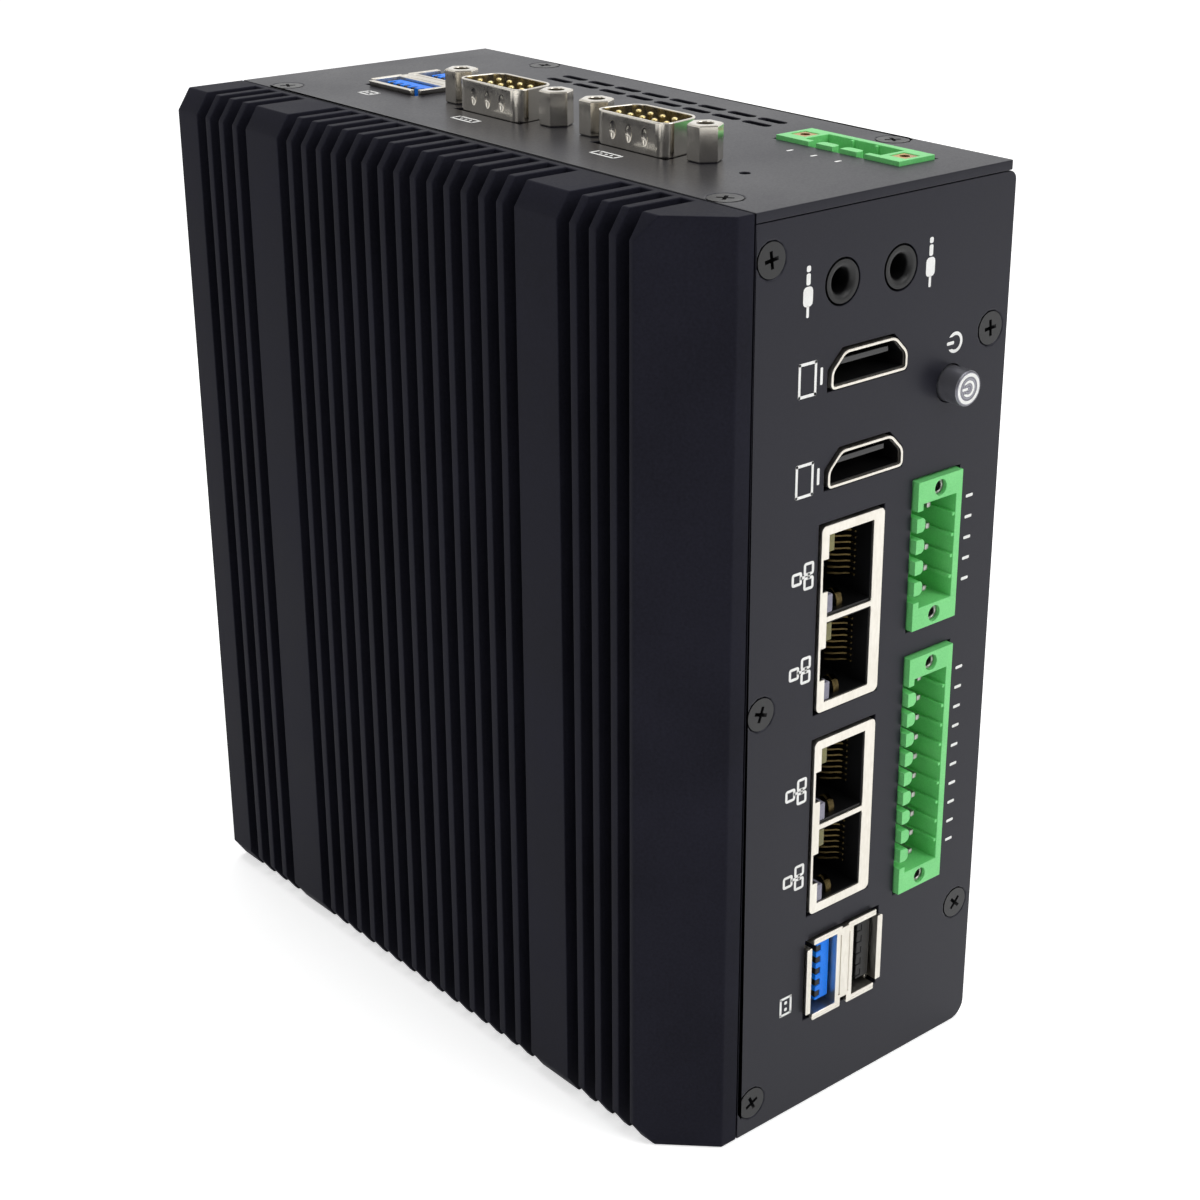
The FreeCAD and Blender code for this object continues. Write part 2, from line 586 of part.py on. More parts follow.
# Front panel with the socket cut-outs; its right corners follow the bends of the cover.
front = new_body("front_sheet", "levels.x_seam", "levels.y_face")
sk = sketch(front, "XZ_Plane", "outline")
area(sk, "dims.seam_gap", "0", "levels.panel_w - dims.seam_gap", RIM_TOP)
plate = feature(front, "Pad", "plate", sk, "dims.sheet_t", back=True)
plate = round_edges(front, "low_corner", plate, "dims.bend_r", "y", ("levels.panel_w", "0"))
round_edges(front, "top_corner", plate, "dims.edge_r", "y", ("levels.panel_w", RIM_TOP))
BOARD_X = "(levels.x_main_top - levels.x_seam)"
PORT_X = "(levels.x_io_top - levels.x_seam)"
sk = sketch(front, "XZ_Plane", "cuts")
for x, z, wide, high in (
        (BOARD_X, "dims.port_foot", "dims.bus_rise", "dims.bus_w"),
        (BOARD_X, "levels.z_lan_low", "dims.lan_rise", "dims.lan_span"),
        (BOARD_X, "levels.z_lan_high", "dims.lan_rise", "dims.lan_span"),
        (PORT_X, "dims.header_foot", "dims.header_rise", "levels.long_len"),
        (PORT_X, "levels.z_short", "dims.header_rise", "levels.short_len")):
    area(sk, f"({x} - dims.cut_gap)", f"({z} - dims.cut_gap)", f"({wide} + 2 * dims.cut_gap)",
         f"({high} + 2 * dims.cut_gap)")


def video_outline(x, z, grow):
    """Corner points of a video socket's outline, grown by an expression on every side."""
    wide = f"(dims.video_span + 2 * ({grow}))"
    high = f"(dims.video_h + 2 * ({grow}))"
    corner = f"(dims.video_corner + 0.586 * ({grow}))"
    x0 = f"({x} - ({grow}))"
    z0 = f"({z} - ({grow}))"
    return [(x0, z0), (f"{x0} + {wide}", z0), (f"{x0} + {wide}", f"{z0} + {high} - {corner}"),
            (f"{x0} + {wide} - {corner}", f"{z0} + {high}"), (f"{x0} + {corner}", f"{z0} + {high}"),
            (x0, f"{z0} + {high} - {corner}")]


for z in ("levels.z_video_low", "levels.z_video_high"):
    loop(sk, video_outline(f"{BOARD_X} + dims.video_lift", z, "dims.cut_gap"))
JACKS = ["dims.jack_first", "dims.jack_first + dims.jack_step"]
for x in JACKS:
    ring(sk, f"{BOARD_X} + {x}", "levels.z_jack", "dims.jack_d / 2 + dims.cut_gap")
ring(sk, f"{PORT_X} + dims.button_rise", "levels.z_button", "dims.button_d / 2 + dims.button_room")
feature(front, "Pocket", "openings", sk, "dims.sheet_t * 2")
SEAT = "dims.sheet_t * 2"
room = sunk_screws("front_sinks", PANELS, "+y", FRONT_SCREWS, SEAT, "dims.screw_room")
keep(cut("front_panel", front, [room]), "front_panel")

# Top panel: sockets, two rows of vents and a reset hole.
lid = new_body("top_sheet", "levels.x_seam", "levels.y_face")
sk = sketch(lid, "XY_Plane", "outline", "levels.z_top")
area(sk, "dims.seam_gap", "0", "(levels.panel_w - dims.seam_gap - dims.lid_inset)", "levels.body_d")
feature(lid, "Pad", "plate", sk, "dims.sheet_t", back=True)
SERIAL_Y = ["dims.serial_first", "(dims.serial_first + dims.serial_pitch)"]
TOP_BUS_Y = "(dims.serial_first + dims.serial_pitch + dims.bus_step - dims.bus_w / 2)"


def serial_outline(x, y, grow):
    """Corner points of a serial shell, wide side towards the fins, grown on every side."""
    half = f"(dims.serial_w / 2 + ({grow}))"
    near = f"({x} - dims.serial_t / 2 - ({grow}))"
    far = f"({x} + dims.serial_t / 2 + ({grow}))"
    return [(near, f"{y} - {half}"), (far, f"{y} - {half} + dims.serial_slant"),
            (far, f"{y} + {half} - dims.serial_slant"), (near, f"{y} + {half}")]


STUD_HOLE = "dims.post_stud / 2 + dims.screw_room"
sk = sketch(lid, "XY_Plane", "cuts", "levels.z_top")
for y in SERIAL_Y:
    loop(sk, serial_outline("dims.serial_x", y, "dims.cut_gap"))
    for sign in "-+":
        polygon(sk, "dims.serial_x", f"{y} {sign} dims.post_span / 2", STUD_HOLE)
area(sk, f"({BOARD_X} - dims.cut_gap)", f"({TOP_BUS_Y} - dims.cut_gap)",
     "(dims.bus_rise + 2 * dims.cut_gap)", "(dims.bus_w + 2 * dims.cut_gap)")
area(sk, f"({PORT_X} - dims.cut_gap)", "(dims.power_y - dims.cut_gap)",
     "(dims.header_rise + 2 * dims.cut_gap)", "(levels.power_len + 2 * dims.cut_gap)")
polygon(sk, "dims.reset_x", "dims.reset_y", "dims.reset_d / 2", 12)
feature(lid, "Pocket", "openings", sk, "dims.sheet_t * 2")


def slot_outline(x, y, long, wide):
    """Corner points of an upright slot with cut corners at both ends, from its middle."""
    half = f"{wide} / 2"
    end = f"{long} / 2"
    nip = f"0.3 * {wide}"
    right = [(f"{x} + {half} - {nip}", f"{y} - {end}"), (f"{x} + {half}", f"{y} - {end} + {nip}"),
             (f"{x} + {half}", f"{y} + {end} - {nip}"), (f"{x} + {half} - {nip}", f"{y} + {end}")]
    left = [(f"{x} - {half} + {nip}", f"{y} + {end}"), (f"{x} - {half}", f"{y} + {end} - {nip}"),
            (f"{x} - {half}", f"{y} - {end} + {nip}"), (f"{x} - {half} + {nip}", f"{y} - {end}")]
    return right + left


VENT_X = "(levels.panel_w - dims.flange_w - dims.vent_edge - dims.vent_w / 2)"
sk = sketch(lid, "XY_Plane", "vent", "levels.z_top")
for x in (VENT_X, f"({VENT_X} - dims.vent_rows)"):
    loop(sk, slot_outline(x, "dims.vent_first", "dims.vent_len", "dims.vent_w"))
vent = feature(lid, "Pocket", "vent_pair", sk, "dims.sheet_t * 2")
row_of(lid, "vents", vent, sk, "V_Axis", "dims.vent_count", "(dims.vent_count - 1) * dims.vent_pitch")
room = sunk_screws("top_sinks", (*PANELS, "levels.z_top"), "-z", LID_SCREWS, SEAT, "dims.screw_room")
keep(cut("top_panel", lid, [room]), "top_panel")

# Side cover: one folded sheet that is the right side, the bottom and the back, with a rim for the
# right-hand screws of the front and top panels.
CLIP_SCREWS = [("0", "dims.clip_screw_up"), ("-dims.clip_screw_x", "-dims.clip_screw_down"),
               ("dims.clip_screw_x", "-dims.clip_screw_down")]
RIM = "(dims.sheet_t + dims.lap_gap)"
WALL_X = "levels.panel_w - dims.sheet_t"
RIM_X = "levels.panel_w - dims.flange_w"
cover = new_body("cover_sheet", "levels.x_seam", "levels.y_face")
sk = sketch(cover, "XZ_Plane", "fold", f"-{RIM}")
loop(sk, [("dims.seam_gap", "0"), ("levels.panel_w", "0"), ("levels.panel_w", RIM_TOP), (RIM_X, RIM_TOP),
          (RIM_X, f"{RIM_TOP} - dims.sheet_t"), (WALL_X, f"{RIM_TOP} - dims.sheet_t"),
          (WALL_X, "dims.sheet_t"), ("dims.seam_gap", "dims.sheet_t")])
feature(cover, "Pad", "fold_sheet", sk, f"levels.body_d - {RIM}", back=True)
sk = sketch(cover, "XZ_Plane", "rear", "-levels.body_d")
area(sk, "dims.seam_gap", "0", "levels.panel_w - dims.seam_gap", RIM_TOP)
feature(cover, "Pad", "rear_wall", sk, "dims.sheet_t")
sk = sketch(cover, "XZ_Plane", "rim", f"-{RIM}")
area(sk, RIM_X, "0", "dims.flange_w", RIM_TOP)
sheet_metal = feature(cover, "Pad", "front_rim", sk, "dims.sheet_t", back=True)
for tag, radius, place in (("outer_bend", "dims.bend_r", ("levels.panel_w", "0")),
                           ("inner_bend", "dims.bend_r - dims.sheet_t", (WALL_X, "dims.sheet_t")),
                           ("top_bend", "dims.edge_r", ("levels.panel_w", RIM_TOP))):
    sheet_metal = round_edges(cover, tag, sheet_metal, radius, "y", place)
sk = sketch(cover, "XZ_Plane", "rim_taps")
for x, z in FRONT_SCREWS[3:]:
    polygon(sk, x, z, TAP)
feature(cover, "Pocket", "rim_tap_cuts", sk, f"{RIM} + 2 * dims.sheet_t")
sk = sketch(cover, "XY_Plane", "lid_taps", "levels.z_lid")
for x, y in LID_SCREWS[2:]:
    polygon(sk, x, y, TAP)
feature(cover, "Pocket", "lid_tap_cuts", sk, f"{RIM} + dims.sheet_t")
sk = sketch(cover, "XZ_Plane", "clip_taps", "-levels.body_d")
for x, z in CLIP_SCREWS:
    polygon(sk, f"{x} - levels.x_seam", f"levels.z_mid + {z}", TAP)
feature(cover, "Pocket", "clip_tap_cuts", sk, "dims.sheet_t * 2", back=True)
BEHIND = ("levels.x_seam", "levels.y_back")
rooms = [sunk_screws("rear_sinks", BEHIND, "-y", REAR_SCREWS, SEAT, "dims.screw_room"),
         sunk_screws("foot_sinks", PANELS, "+z", FOOT_SCREWS, SEAT, "dims.screw_room")]
keep(cut("side_cover", cover, rooms), "side_cover")


screws = [
    sunk_screws("front_screws", PANELS, "+y", FRONT_SCREWS, "dims.screw_len"),
    sunk_screws("rear_screws", BEHIND, "-y", REAR_SCREWS, "dims.screw_len"),
    sunk_screws("top_screws", (*PANELS, "levels.z_top"), "-z", LID_SCREWS, "dims.screw_len"),
    sunk_screws("foot_screws", PANELS, "+z", FOOT_SCREWS, "dims.screw_len"),
]
keep(group("panel_screws", screws), "panel_screws")


# Stacked bus sockets: own frame has X across the stack, Y into the socket and Z along a tongue.
def bus_stack(name, place, depth, turn):
    """Shell and two tongues of a stacked bus socket."""
    body = new_body(name + "_shell", *place, turn=turn)
    sk = sketch(body, "XZ_Plane", "outline", "dims.bus_proud")
    area(sk, "0", "0", "dims.bus_rise", "dims.bus_w")
    feature(body, "Pad", "block", sk, f"{depth} + dims.bus_proud", back=True)
    sk = sketch(body, "XZ_Plane", "mouths", "dims.bus_proud")
    slots = ["dims.bus_wall", "(dims.bus_wall + dims.bus_slot + levels.bus_web)"]
    for x in slots:
        area(sk, x, "dims.bus_wall", "dims.bus_slot", "(dims.bus_w - 2 * dims.bus_wall)")
    feature(body, "Pocket", "mouth_cuts", sk, "dims.bus_reach + dims.bus_proud")
    keep(body, name + "_shell")
    for tag, x in zip("ab", slots):
        tongue = new_body(f"{name}_tongue_{tag}", *place, turn=turn)
        sk = sketch(tongue, "XZ_Plane", "outline", "-dims.bus_reach")
        area(sk, f"({x} + dims.tongue_off)", "(dims.bus_w - dims.tongue_w) / 2",
             "dims.tongue_t", "dims.tongue_w")
        feature(tongue, "Pad", "blade", sk, "dims.bus_reach + dims.bus_proud - dims.tongue_back")
        keep(tongue, f"{name}_tongue_{tag}")


bus_stack("bus_front", ("levels.x_main_top", "levels.y_face", "dims.port_foot"), "dims.bus_depth", "+z")
bus_stack("bus_top", ("levels.x_main_top", f"levels.y_face + {TOP_BUS_Y}", "levels.z_top"),
          "dims.top_bus_depth", "+y")


# Network jacks: a thin shield with a broad front rim round an insert that holds two ports.
def lan_port_outline(x, z):
    """A port with the plug's latch notch on the side of the fins."""
    left = f"({x} + dims.lan_rim)"
    right = f"({x} + dims.lan_rise - dims.lan_rim_far)"
    top = f"({z} + levels.lan_port)"
    low_notch = f"({z} + levels.lan_port / 2 - dims.latch_w / 2)"
    high_notch = f"({z} + levels.lan_port / 2 + dims.latch_w / 2)"
    notch = f"({left} - dims.latch_d)"
    return [(left, z), (right, z), (right, top), (left, top), (left, high_notch), (notch, high_notch),
            (notch, low_notch), (left, low_notch)]


PORTS = ["dims.lan_rim", "(dims.lan_rim + levels.lan_port + dims.lan_divide)"]
wires = []
lights = []
for tag, foot in (("low", "levels.z_lan_low"), ("high", "levels.z_lan_high")):
    place = ("levels.x_main_top", "levels.y_face", foot)
    shield = new_body(f"lan_shield_{tag}", *place)
    sk = sketch(shield, "XZ_Plane", "outline", "dims.lan_proud")
    area(sk, "0", "0", "dims.lan_rise", "dims.lan_span")
    feature(shield, "Pad", "block", sk, "dims.lan_depth + dims.lan_proud", back=True)
    sk = sketch(shield, "XZ_Plane", "inside", "dims.lan_proud - dims.lan_skin")
    area(sk, "dims.lan_skin", "dims.lan_skin", "dims.lan_rise - 2 * dims.lan_skin",
         "dims.lan_span - 2 * dims.lan_skin")
    feature(shield, "Pocket", "inside_cut", sk)
    sk = sketch(shield, "XZ_Plane", "mouths", "dims.lan_proud")
    for z in PORTS:
        loop(sk, lan_port_outline("0", z))
    feature(shield, "Pocket", "mouth_cuts", sk, "dims.lan_skin * 2")
    keep(shield, f"lan_shield_{tag}")
    insert = new_body(f"lan_insert_{tag}", *place)
    sk = sketch(insert, "XZ_Plane", "outline", "dims.lan_proud - dims.lan_skin")
    area(sk, "dims.lan_skin", "dims.lan_skin", "dims.lan_rise - 2 * dims.lan_skin",
         "dims.lan_span - 2 * dims.lan_skin")
    feature(insert, "Pad", "block", sk, "dims.lan_depth - dims.lan_skin", back=True)
    sk = sketch(insert, "XZ_Plane", "ports", "dims.lan_proud - dims.lan_skin")
    for z in PORTS:
        loop(sk, lan_port_outline("0", z))
    feature(insert, "Pocket", "port_cuts", sk, "dims.lan_reach")
    keep(insert, f"lan_insert_{tag}")
    for n, z in enumerate(PORTS):
        for i in range(8):
            wires.append(box(f"wire_{tag}_{n}_{i}", (
                "levels.x_main_top + dims.lan_rise - dims.lan_rim_far - 3 * dims.wire_w",
                "levels.y_face + dims.lan_skin - dims.lan_proud + dims.lan_reach / 4",
                f"{foot} + {z} + levels.lan_port / 2 + {i - 3.5} * dims.wire_pitch - dims.wire_w / 2"),
                ("3 * dims.wire_w", "dims.lan_reach * 3 / 4", "dims.wire_w")))
        for side, z_light in (("lower", z), ("upper", f"{z} + levels.lan_port - dims.light_z")):
            lights.append((f"light_{tag}_{n}_{side}", box(f"light_{tag}_{n}_{side}", (
                "levels.x_main_top + dims.lan_rim", "levels.y_face + dims.lan_skin - dims.lan_proud",
                f"{foot} + {z_light}"), ("dims.light_x", "dims.lan_reach", "dims.light_z"))))
keep(group("lan_contacts", wires), "lan_contacts")
keep(group("lan_lights_upper", [obj for name, obj in lights if name.endswith("upper")]), "lan_lights_upper")
keep(group("lan_lights_lower", [obj for name, obj in lights if name.endswith("lower")]), "lan_lights_lower")

# Video sockets: a folded shell that stands on two feet, and a core with a thin tongue.
for tag, foot in (("low", "levels.z_video_low"), ("high", "levels.z_video_high")):
    place = ("levels.x_main_top", "levels.y_face", foot)
    shell = new_body(f"video_shell_{tag}", *place)
    sk = sketch(shell, "XZ_Plane", "section", "dims.video_proud")
    loop(sk, video_outline("dims.video_lift", "0", "0"))
    loop(sk, video_outline("dims.video_lift", "0", "-dims.video_wall"))
    feature(shell, "Pad", "tube", sk, "dims.video_depth + dims.video_proud", back=True)
    sk = sketch(shell, "XZ_Plane", "foot", "-dims.video_depth / 2")
    area(sk, "0", "0", "dims.video_lift + dims.video_wall / 2", "dims.video_h - dims.video_corner * 1.2")
    feature(shell, "Pad", "feet", sk, "dims.video_depth / 2 - dims.video_plug / 2", back=True)
    keep(shell, f"video_shell_{tag}")
    core = new_body(f"video_core_{tag}", *place)
    sk = sketch(core, "XZ_Plane", "plug", "-dims.video_depth + dims.video_plug")
    loop(sk, video_outline("dims.video_lift", "0", "-dims.video_wall"))
    feature(core, "Pad", "rear", sk, "dims.video_plug", back=True)
    sk = sketch(core, "XZ_Plane", "blade", "-dims.video_depth + dims.video_plug")
    area(sk, "dims.video_lift + (dims.video_span - dims.video_tongue_w) / 2", "dims.video_tongue_z",
         "dims.video_tongue_w", "dims.video_tongue_t")
    feature(core, "Pad", "tongue", sk,
            "dims.video_depth - dims.video_plug + dims.video_proud - dims.video_tip")
    keep(core, f"video_core_{tag}")

# Two audio jacks in one housing, with round noses in the panel.
housing = box("jack_block", ("levels.x_main_top", "levels.y_face + dims.sheet_t + dims.lap_gap",
                             "levels.z_jack - dims.jack_d / 2"),
              ("dims.jack_first + dims.jack_step + dims.jack_body / 2", "dims.jack_depth", "dims.jack_d"))
noses = []
bores = []
for i, x in enumerate(JACKS):
    start = (f"levels.x_main_top + {x}", "levels.y_face", "levels.z_jack")
    noses.append(rod(f"jack_nose_{i}", start, "+y", "dims.jack_d / 2", "dims.sheet_t + dims.lap_gap"))
    bores.append(rod(f"jack_bore_{i}", start, "+y", "dims.jack_bore / 2", "dims.jack_depth"))
keep(cut("audio_jacks", fuse("jack_solid", [housing] + noses), bores), "audio_jacks")


# Headers: own frame has X above the board, Y into the header and Z along the row of poles.
def header(name, place, turn, proud, length, poles, pitch, end):
    """Shrouded header with keying fingers on one long side and a block at each end."""
    body = new_body(name, *place, turn=turn)
    sk = sketch(body, "XZ_Plane", "outline", proud)
    area(sk, "0", "0", "dims.header_rise", length)
    feature(body, "Pad", "block", sk, f"dims.header_depth + {proud}", back=True)
    sk = sketch(body, "XZ_Plane", "well", proud)
    area(sk, "dims.header_wall", "dims.header_block", "(dims.header_rise - 2 * dims.header_wall)",
         f"({length} - 2 * dims.header_block)")
    feature(body, "Pocket", "well_cut", sk, f"dims.header_depth + {proud} - dims.header_floor")
    sk = sketch(body, "XZ_Plane", "key", proud)
    area(sk, "-dims.header_wall", f"({end} - {pitch} / 2 - dims.key_gap / 2)", "2 * dims.header_wall + 0.1",
         "dims.key_gap")
    key = feature(body, "Pocket", "key_cut", sk, f"dims.key_depth + {proud}")
    row_of(body, "keys", key, sk, "V_Axis", f"{poles} + 1", f"{poles} * {pitch}")
    return body


def bushes(name, place, turn, proud, length):
    """Eight-sided threaded bushes in the end blocks of a header."""
    parts = []
    for i, z in enumerate(("dims.header_block / 2", f"({length} - dims.header_block / 2)")):
        body = new_body(f"{name}_{i}", *place, turn=turn)
        sk = sketch(body, "XZ_Plane", "ring", f"{proud} - dims.header_wall / 2")
        polygon(sk, "dims.header_rise / 2", z, "dims.nut_d / 2")
        polygon(sk, "dims.header_rise / 2", z, "dims.nut_bore / 2")
        feature(body, "Pad", "tube", sk, "dims.nut_len", back=True)
        parts.append(body)
    return parts


pins = []
nuts = []
for tag, foot in (("long", "dims.header_foot"), ("short", "levels.z_short")):
    name = "signal_header_" + tag
    length = f"levels.{tag}_len"
    poles = f"dims.{tag}_poles"
    count = int(sheet.getPropertyByName(tag + "_poles"))
    place = ("levels.x_io_top", "levels.y_face", foot)
    body = header(name, place, "+z", "dims.header_proud", length, poles, "dims.signal_pitch",
                  "dims.signal_end")
    sk = sketch(body, "XZ_Plane", "bush", "dims.header_proud")
    for z in ("dims.header_block / 2", f"({length} - dims.header_block / 2)"):
        polygon(sk, "dims.header_rise / 2", z, "dims.nut_d / 2 + dims.screw_fit")
    feature(body, "Pocket", "bush_holes", sk, "dims.nut_len + dims.header_wall / 2 + dims.screw_fit")
    keep(body, name)
    nuts += bushes(name + "_bush", place, "+z", "dims.header_proud", length)
    for i in range(count):
        pins.append(box(f"{name}_pin_{i}", (
            "levels.x_io_top + dims.header_rise / 2 - dims.pin_w / 2",
            "levels.y_face - dims.header_proud + dims.pin_short",
            f"{foot} + dims.signal_end + {i} * dims.signal_pitch - dims.pin_w / 2"),
            ("dims.pin_w", "dims.header_depth + dims.header_proud - dims.pin_short - dims.header_floor",
             "dims.pin_w")))
keep(group("signal_pins", pins), "signal_pins")
keep(group("header_bushes", nuts), "header_bushes")

# Power header on the lid, with square inserts in its end blocks.
place = ("levels.x_io_top", "levels.y_face + dims.power_y", "levels.z_top")
power = header("power_header", place, "+y", "dims.power_proud", "levels.power_len", "dims.power_poles",
               "dims.power_pitch", "dims.power_end")
sk = sketch(power, "XZ_Plane", "insert", "dims.power_proud")
INSERTS = ["(dims.power_end - dims.power_pitch / 2 - dims.key_gap - dims.insert_w)",
           "(levels.power_len - dims.power_end + dims.power_pitch / 2 + dims.key_gap)"]
for z in INSERTS:
    area(sk, "(dims.header_rise - dims.insert_w) / 2 - dims.screw_fit", f"({z} - dims.screw_fit)",
         "dims.insert_w + 2 * dims.screw_fit", "dims.insert_w + 2 * dims.screw_fit")
feature(power, "Pocket", "insert_seats", sk, "dims.nut_len + dims.screw_fit")
keep(power, "power_header")
blocks = []
for i, z in enumerate(INSERTS):
    body = new_body(f"power_insert_{i}", *place, turn="+y")
    sk = sketch(body, "XZ_Plane", "square", "dims.power_proud - dims.screw_fit")
    area(sk, "(dims.header_rise - dims.insert_w) / 2", z, "dims.insert_w", "dims.insert_w")
    polygon(sk, "dims.header_rise / 2", f"{z} + dims.insert_w / 2", "dims.nut_bore / 2")
    feature(body, "Pad", "block", sk, "dims.nut_len - dims.screw_fit", back=True)
    blocks.append(body)
keep(group("power_inserts", blocks), "power_inserts")
tabs = []
for i in range(int(sheet.power_poles)):
    tabs.append(box(f"power_pin_{i}", (
        "levels.x_io_top + dims.header_rise / 2 - dims.pin_w / 2",
        f"levels.y_face + dims.power_y + dims.power_end + {i} * dims.power_pitch - dims.pin_w / 2",
        "levels.z_top - dims.header_depth + dims.header_floor"),
        ("dims.pin_w", "dims.pin_w",
         "dims.header_depth + dims.power_proud - dims.pin_short - dims.header_floor")))
keep(group("power_pins", tabs), "power_pins")

# Push button: a turned cap, a shoulder behind the panel and a stem.
button = new_body("power_button", "levels.x_io_top + dims.button_rise", "levels.y_face", "levels.z_button")
sk = sketch(button, "XY_Plane", "profile")
R = "dims.button_d / 2"
SHOULDER = "dims.sheet_t + dims.button_stop"
SHOULDER_R = f"{R} + dims.button_rim + dims.button_room"
SHOULDER_END = f"{SHOULDER} + 2 * dims.button_rim"
loop(sk, [("0", "-dims.button_proud"), (R, "-dims.button_proud"), (R, SHOULDER), (SHOULDER_R, SHOULDER),
          (SHOULDER_R, SHOULDER_END), (f"{R} / 2", SHOULDER_END), (f"{R} / 2", "levels.button_rear"),
          ("0", "levels.button_rear")])
doc.recompute()
turned = button.newObject("PartDesign::Revolution", "button_turned")
turned.Profile = sk
turned.ReferenceAxis = (sk, ["V_Axis"])
turned.Angle = 360
keep(button, "power_button")
keep(box("power_switch", ("levels.x_io_top", "levels.y_face + levels.button_rear + dims.button_travel"
                          " + dims.button_stop", "levels.z_button - dims.switch_w / 2"),
         ("dims.button_rise + dims.switch_w / 2", "dims.switch_depth", "dims.switch_w")), "power_switch")

# Serial connectors: shell with flange under the lid, insert, pins and hex posts.
contacts = []
posts = []
for tag, along in zip(("front", "rear"), SERIAL_Y):
    place = ("levels.x_seam + dims.serial_x", f"levels.y_face + {along}", "levels.z_lid")
    shell = new_body(f"serial_shell_{tag}", *place)
    sk = sketch(shell, "XY_Plane", "dee")
    loop(sk, serial_outline("0", "0", "0"))
    tube = feature(shell, "Pad", "tube", sk, "dims.sheet_t + dims.serial_proud")
    round_edges(shell, "corners", tube, "dims.serial_round", "z")
    sk = sketch(shell, "XY_Plane", "flange")
    area(sk, "-dims.serial_flange_w / 2", "-dims.serial_flange_l / 2", "dims.serial_flange_w",
         "dims.serial_flange_l")
    feature(shell, "Pad", "flange_plate", sk, "dims.serial_flange_t", back=True)
    sk = sketch(shell, "XY_Plane", "inside", "dims.sheet_t + dims.serial_proud")
    loop(sk, serial_outline("0", "0", "-dims.serial_wall"))
    inside = feature(shell, "Pocket", "inside_cut", sk)
    doc.recompute()
    inner = []
    for i, edge in enumerate(inside.Shape.Edges, 1):
        if len(edge.Vertexes) == 2 and abs(edge.Length - float(levels.evalExpression(
                "dims.sheet_t + dims.serial_proud + dims.serial_flange_t"))) < 1e-5:
            inner.append(f"Edge{i}")
    soft = shell.newObject("PartDesign::Fillet", f"serial_inner_{tag}")
    soft.Base = (inside, inner)
    soft.setExpression("Radius", "dims.serial_round - dims.serial_wall")
    sk = sketch(shell, "XY_Plane", "post_holes")
    for sign in "-+":
        polygon(sk, "0", f"{sign}dims.post_span / 2", STUD_HOLE)
    feature(shell, "Pocket", "post_cuts", sk, "dims.serial_flange_t * 2")
    keep(shell, f"serial_shell_{tag}")
    insert = new_body(f"serial_insert_{tag}", *place)
    sk = sketch(insert, "XY_Plane", "plug", "-dims.serial_flange_t")
    loop(sk, serial_outline("0", "0", "-dims.serial_wall - dims.serial_fit"))
    plug = feature(insert, "Pad", "core", sk, "dims.serial_flange_t + dims.sheet_t - dims.serial_sink")
    round_edges(insert, "corners", plug, "dims.serial_round - dims.serial_wall", "z")
    sk = sketch(insert, "XY_Plane", "back", "-dims.serial_flange_t")
    area(sk, "-dims.serial_t / 2", "-dims.serial_w / 2", "dims.serial_t", "dims.serial_w")
    feature(insert, "Pad", "back_block", sk, "dims.serial_back", back=True)
    keep(insert, f"serial_insert_{tag}")
    for row, count, sign in (("five", 5, "-"), ("four", 4, "+")):
        for i in range(count):
            contacts.append(prism(f"serial_pin_{tag}_{row}_{i}", (
                f"{place[0]} {sign} dims.serial_rows / 2",
                f"{place[1]} + {i - (count - 1) / 2} * dims.serial_pin_pitch",
                "levels.z_top - dims.serial_sink"), "+z", "dims.serial_pin_d / 2",
                "dims.serial_sink + dims.serial_pin_proud"))
    for n, sign in enumerate("-+"):
        base = (place[0], f"{place[1]} {sign} dims.post_span / 2", "levels.z_top")
        hexagon = prism(f"post_hex_{tag}_{n}", base, "+z", "dims.post_hex / sqrt(3)", "dims.post_proud")
        stud = prism(f"post_stud_{tag}_{n}", base, "-z", "dims.post_stud / 2", "dims.post_drop", 8)
        bore = prism(f"post_bore_{tag}_{n}", (base[0], base[1], "levels.z_top + dims.post_proud"), "-z",
                     "dims.post_bore / 2", "dims.post_deep", 8)
        posts.append(cut(f"post_{tag}_{n}", fuse(f"post_solid_{tag}_{n}", [hexagon, stud]), [bore]))
keep(group("serial_pins", contacts), "serial_pins")
keep(group("jack_posts", posts), "jack_posts")
keep(box("serial_board", ("levels.x_seam + dims.serial_x - dims.serial_flange_w / 2",
                          "levels.y_face + dims.serial_first - dims.serial_flange_l / 2", "levels.z_serial"),
         ("dims.serial_flange_w", "dims.serial_pitch + dims.serial_flange_l", "dims.board_t")),
     "serial_board")

# Main board on standoffs above the heatsink base, and port board on risers above the main board.
MAIN_Y = "(levels.y_face + dims.sheet_t + dims.board_edge)"
MAIN_Z = "(dims.sheet_t + dims.main_foot)"
MAIN_D = "(levels.body_d - 2 * dims.sheet_t - 2 * dims.board_edge)"
IO_Z = "(dims.header_foot - dims.io_foot)"
main_posts = [(y, z) for y in (f"{MAIN_Y} + dims.post_edge", f"{MAIN_Y} + {MAIN_D} - dims.post_edge")
              for z in (f"{MAIN_Z} + dims.post_edge", "levels.z_main_top - dims.post_edge")]
RISER_Y = ["levels.y_face + dims.riser_front", f"{MAIN_Y} + dims.io_depth - dims.post_edge"]
io_posts = [(y, z) for y in RISER_Y for z in ("dims.riser_low", "dims.riser_high")]
BOLT_ROOM = "dims.bolt_d / 2 + dims.screw_fit"


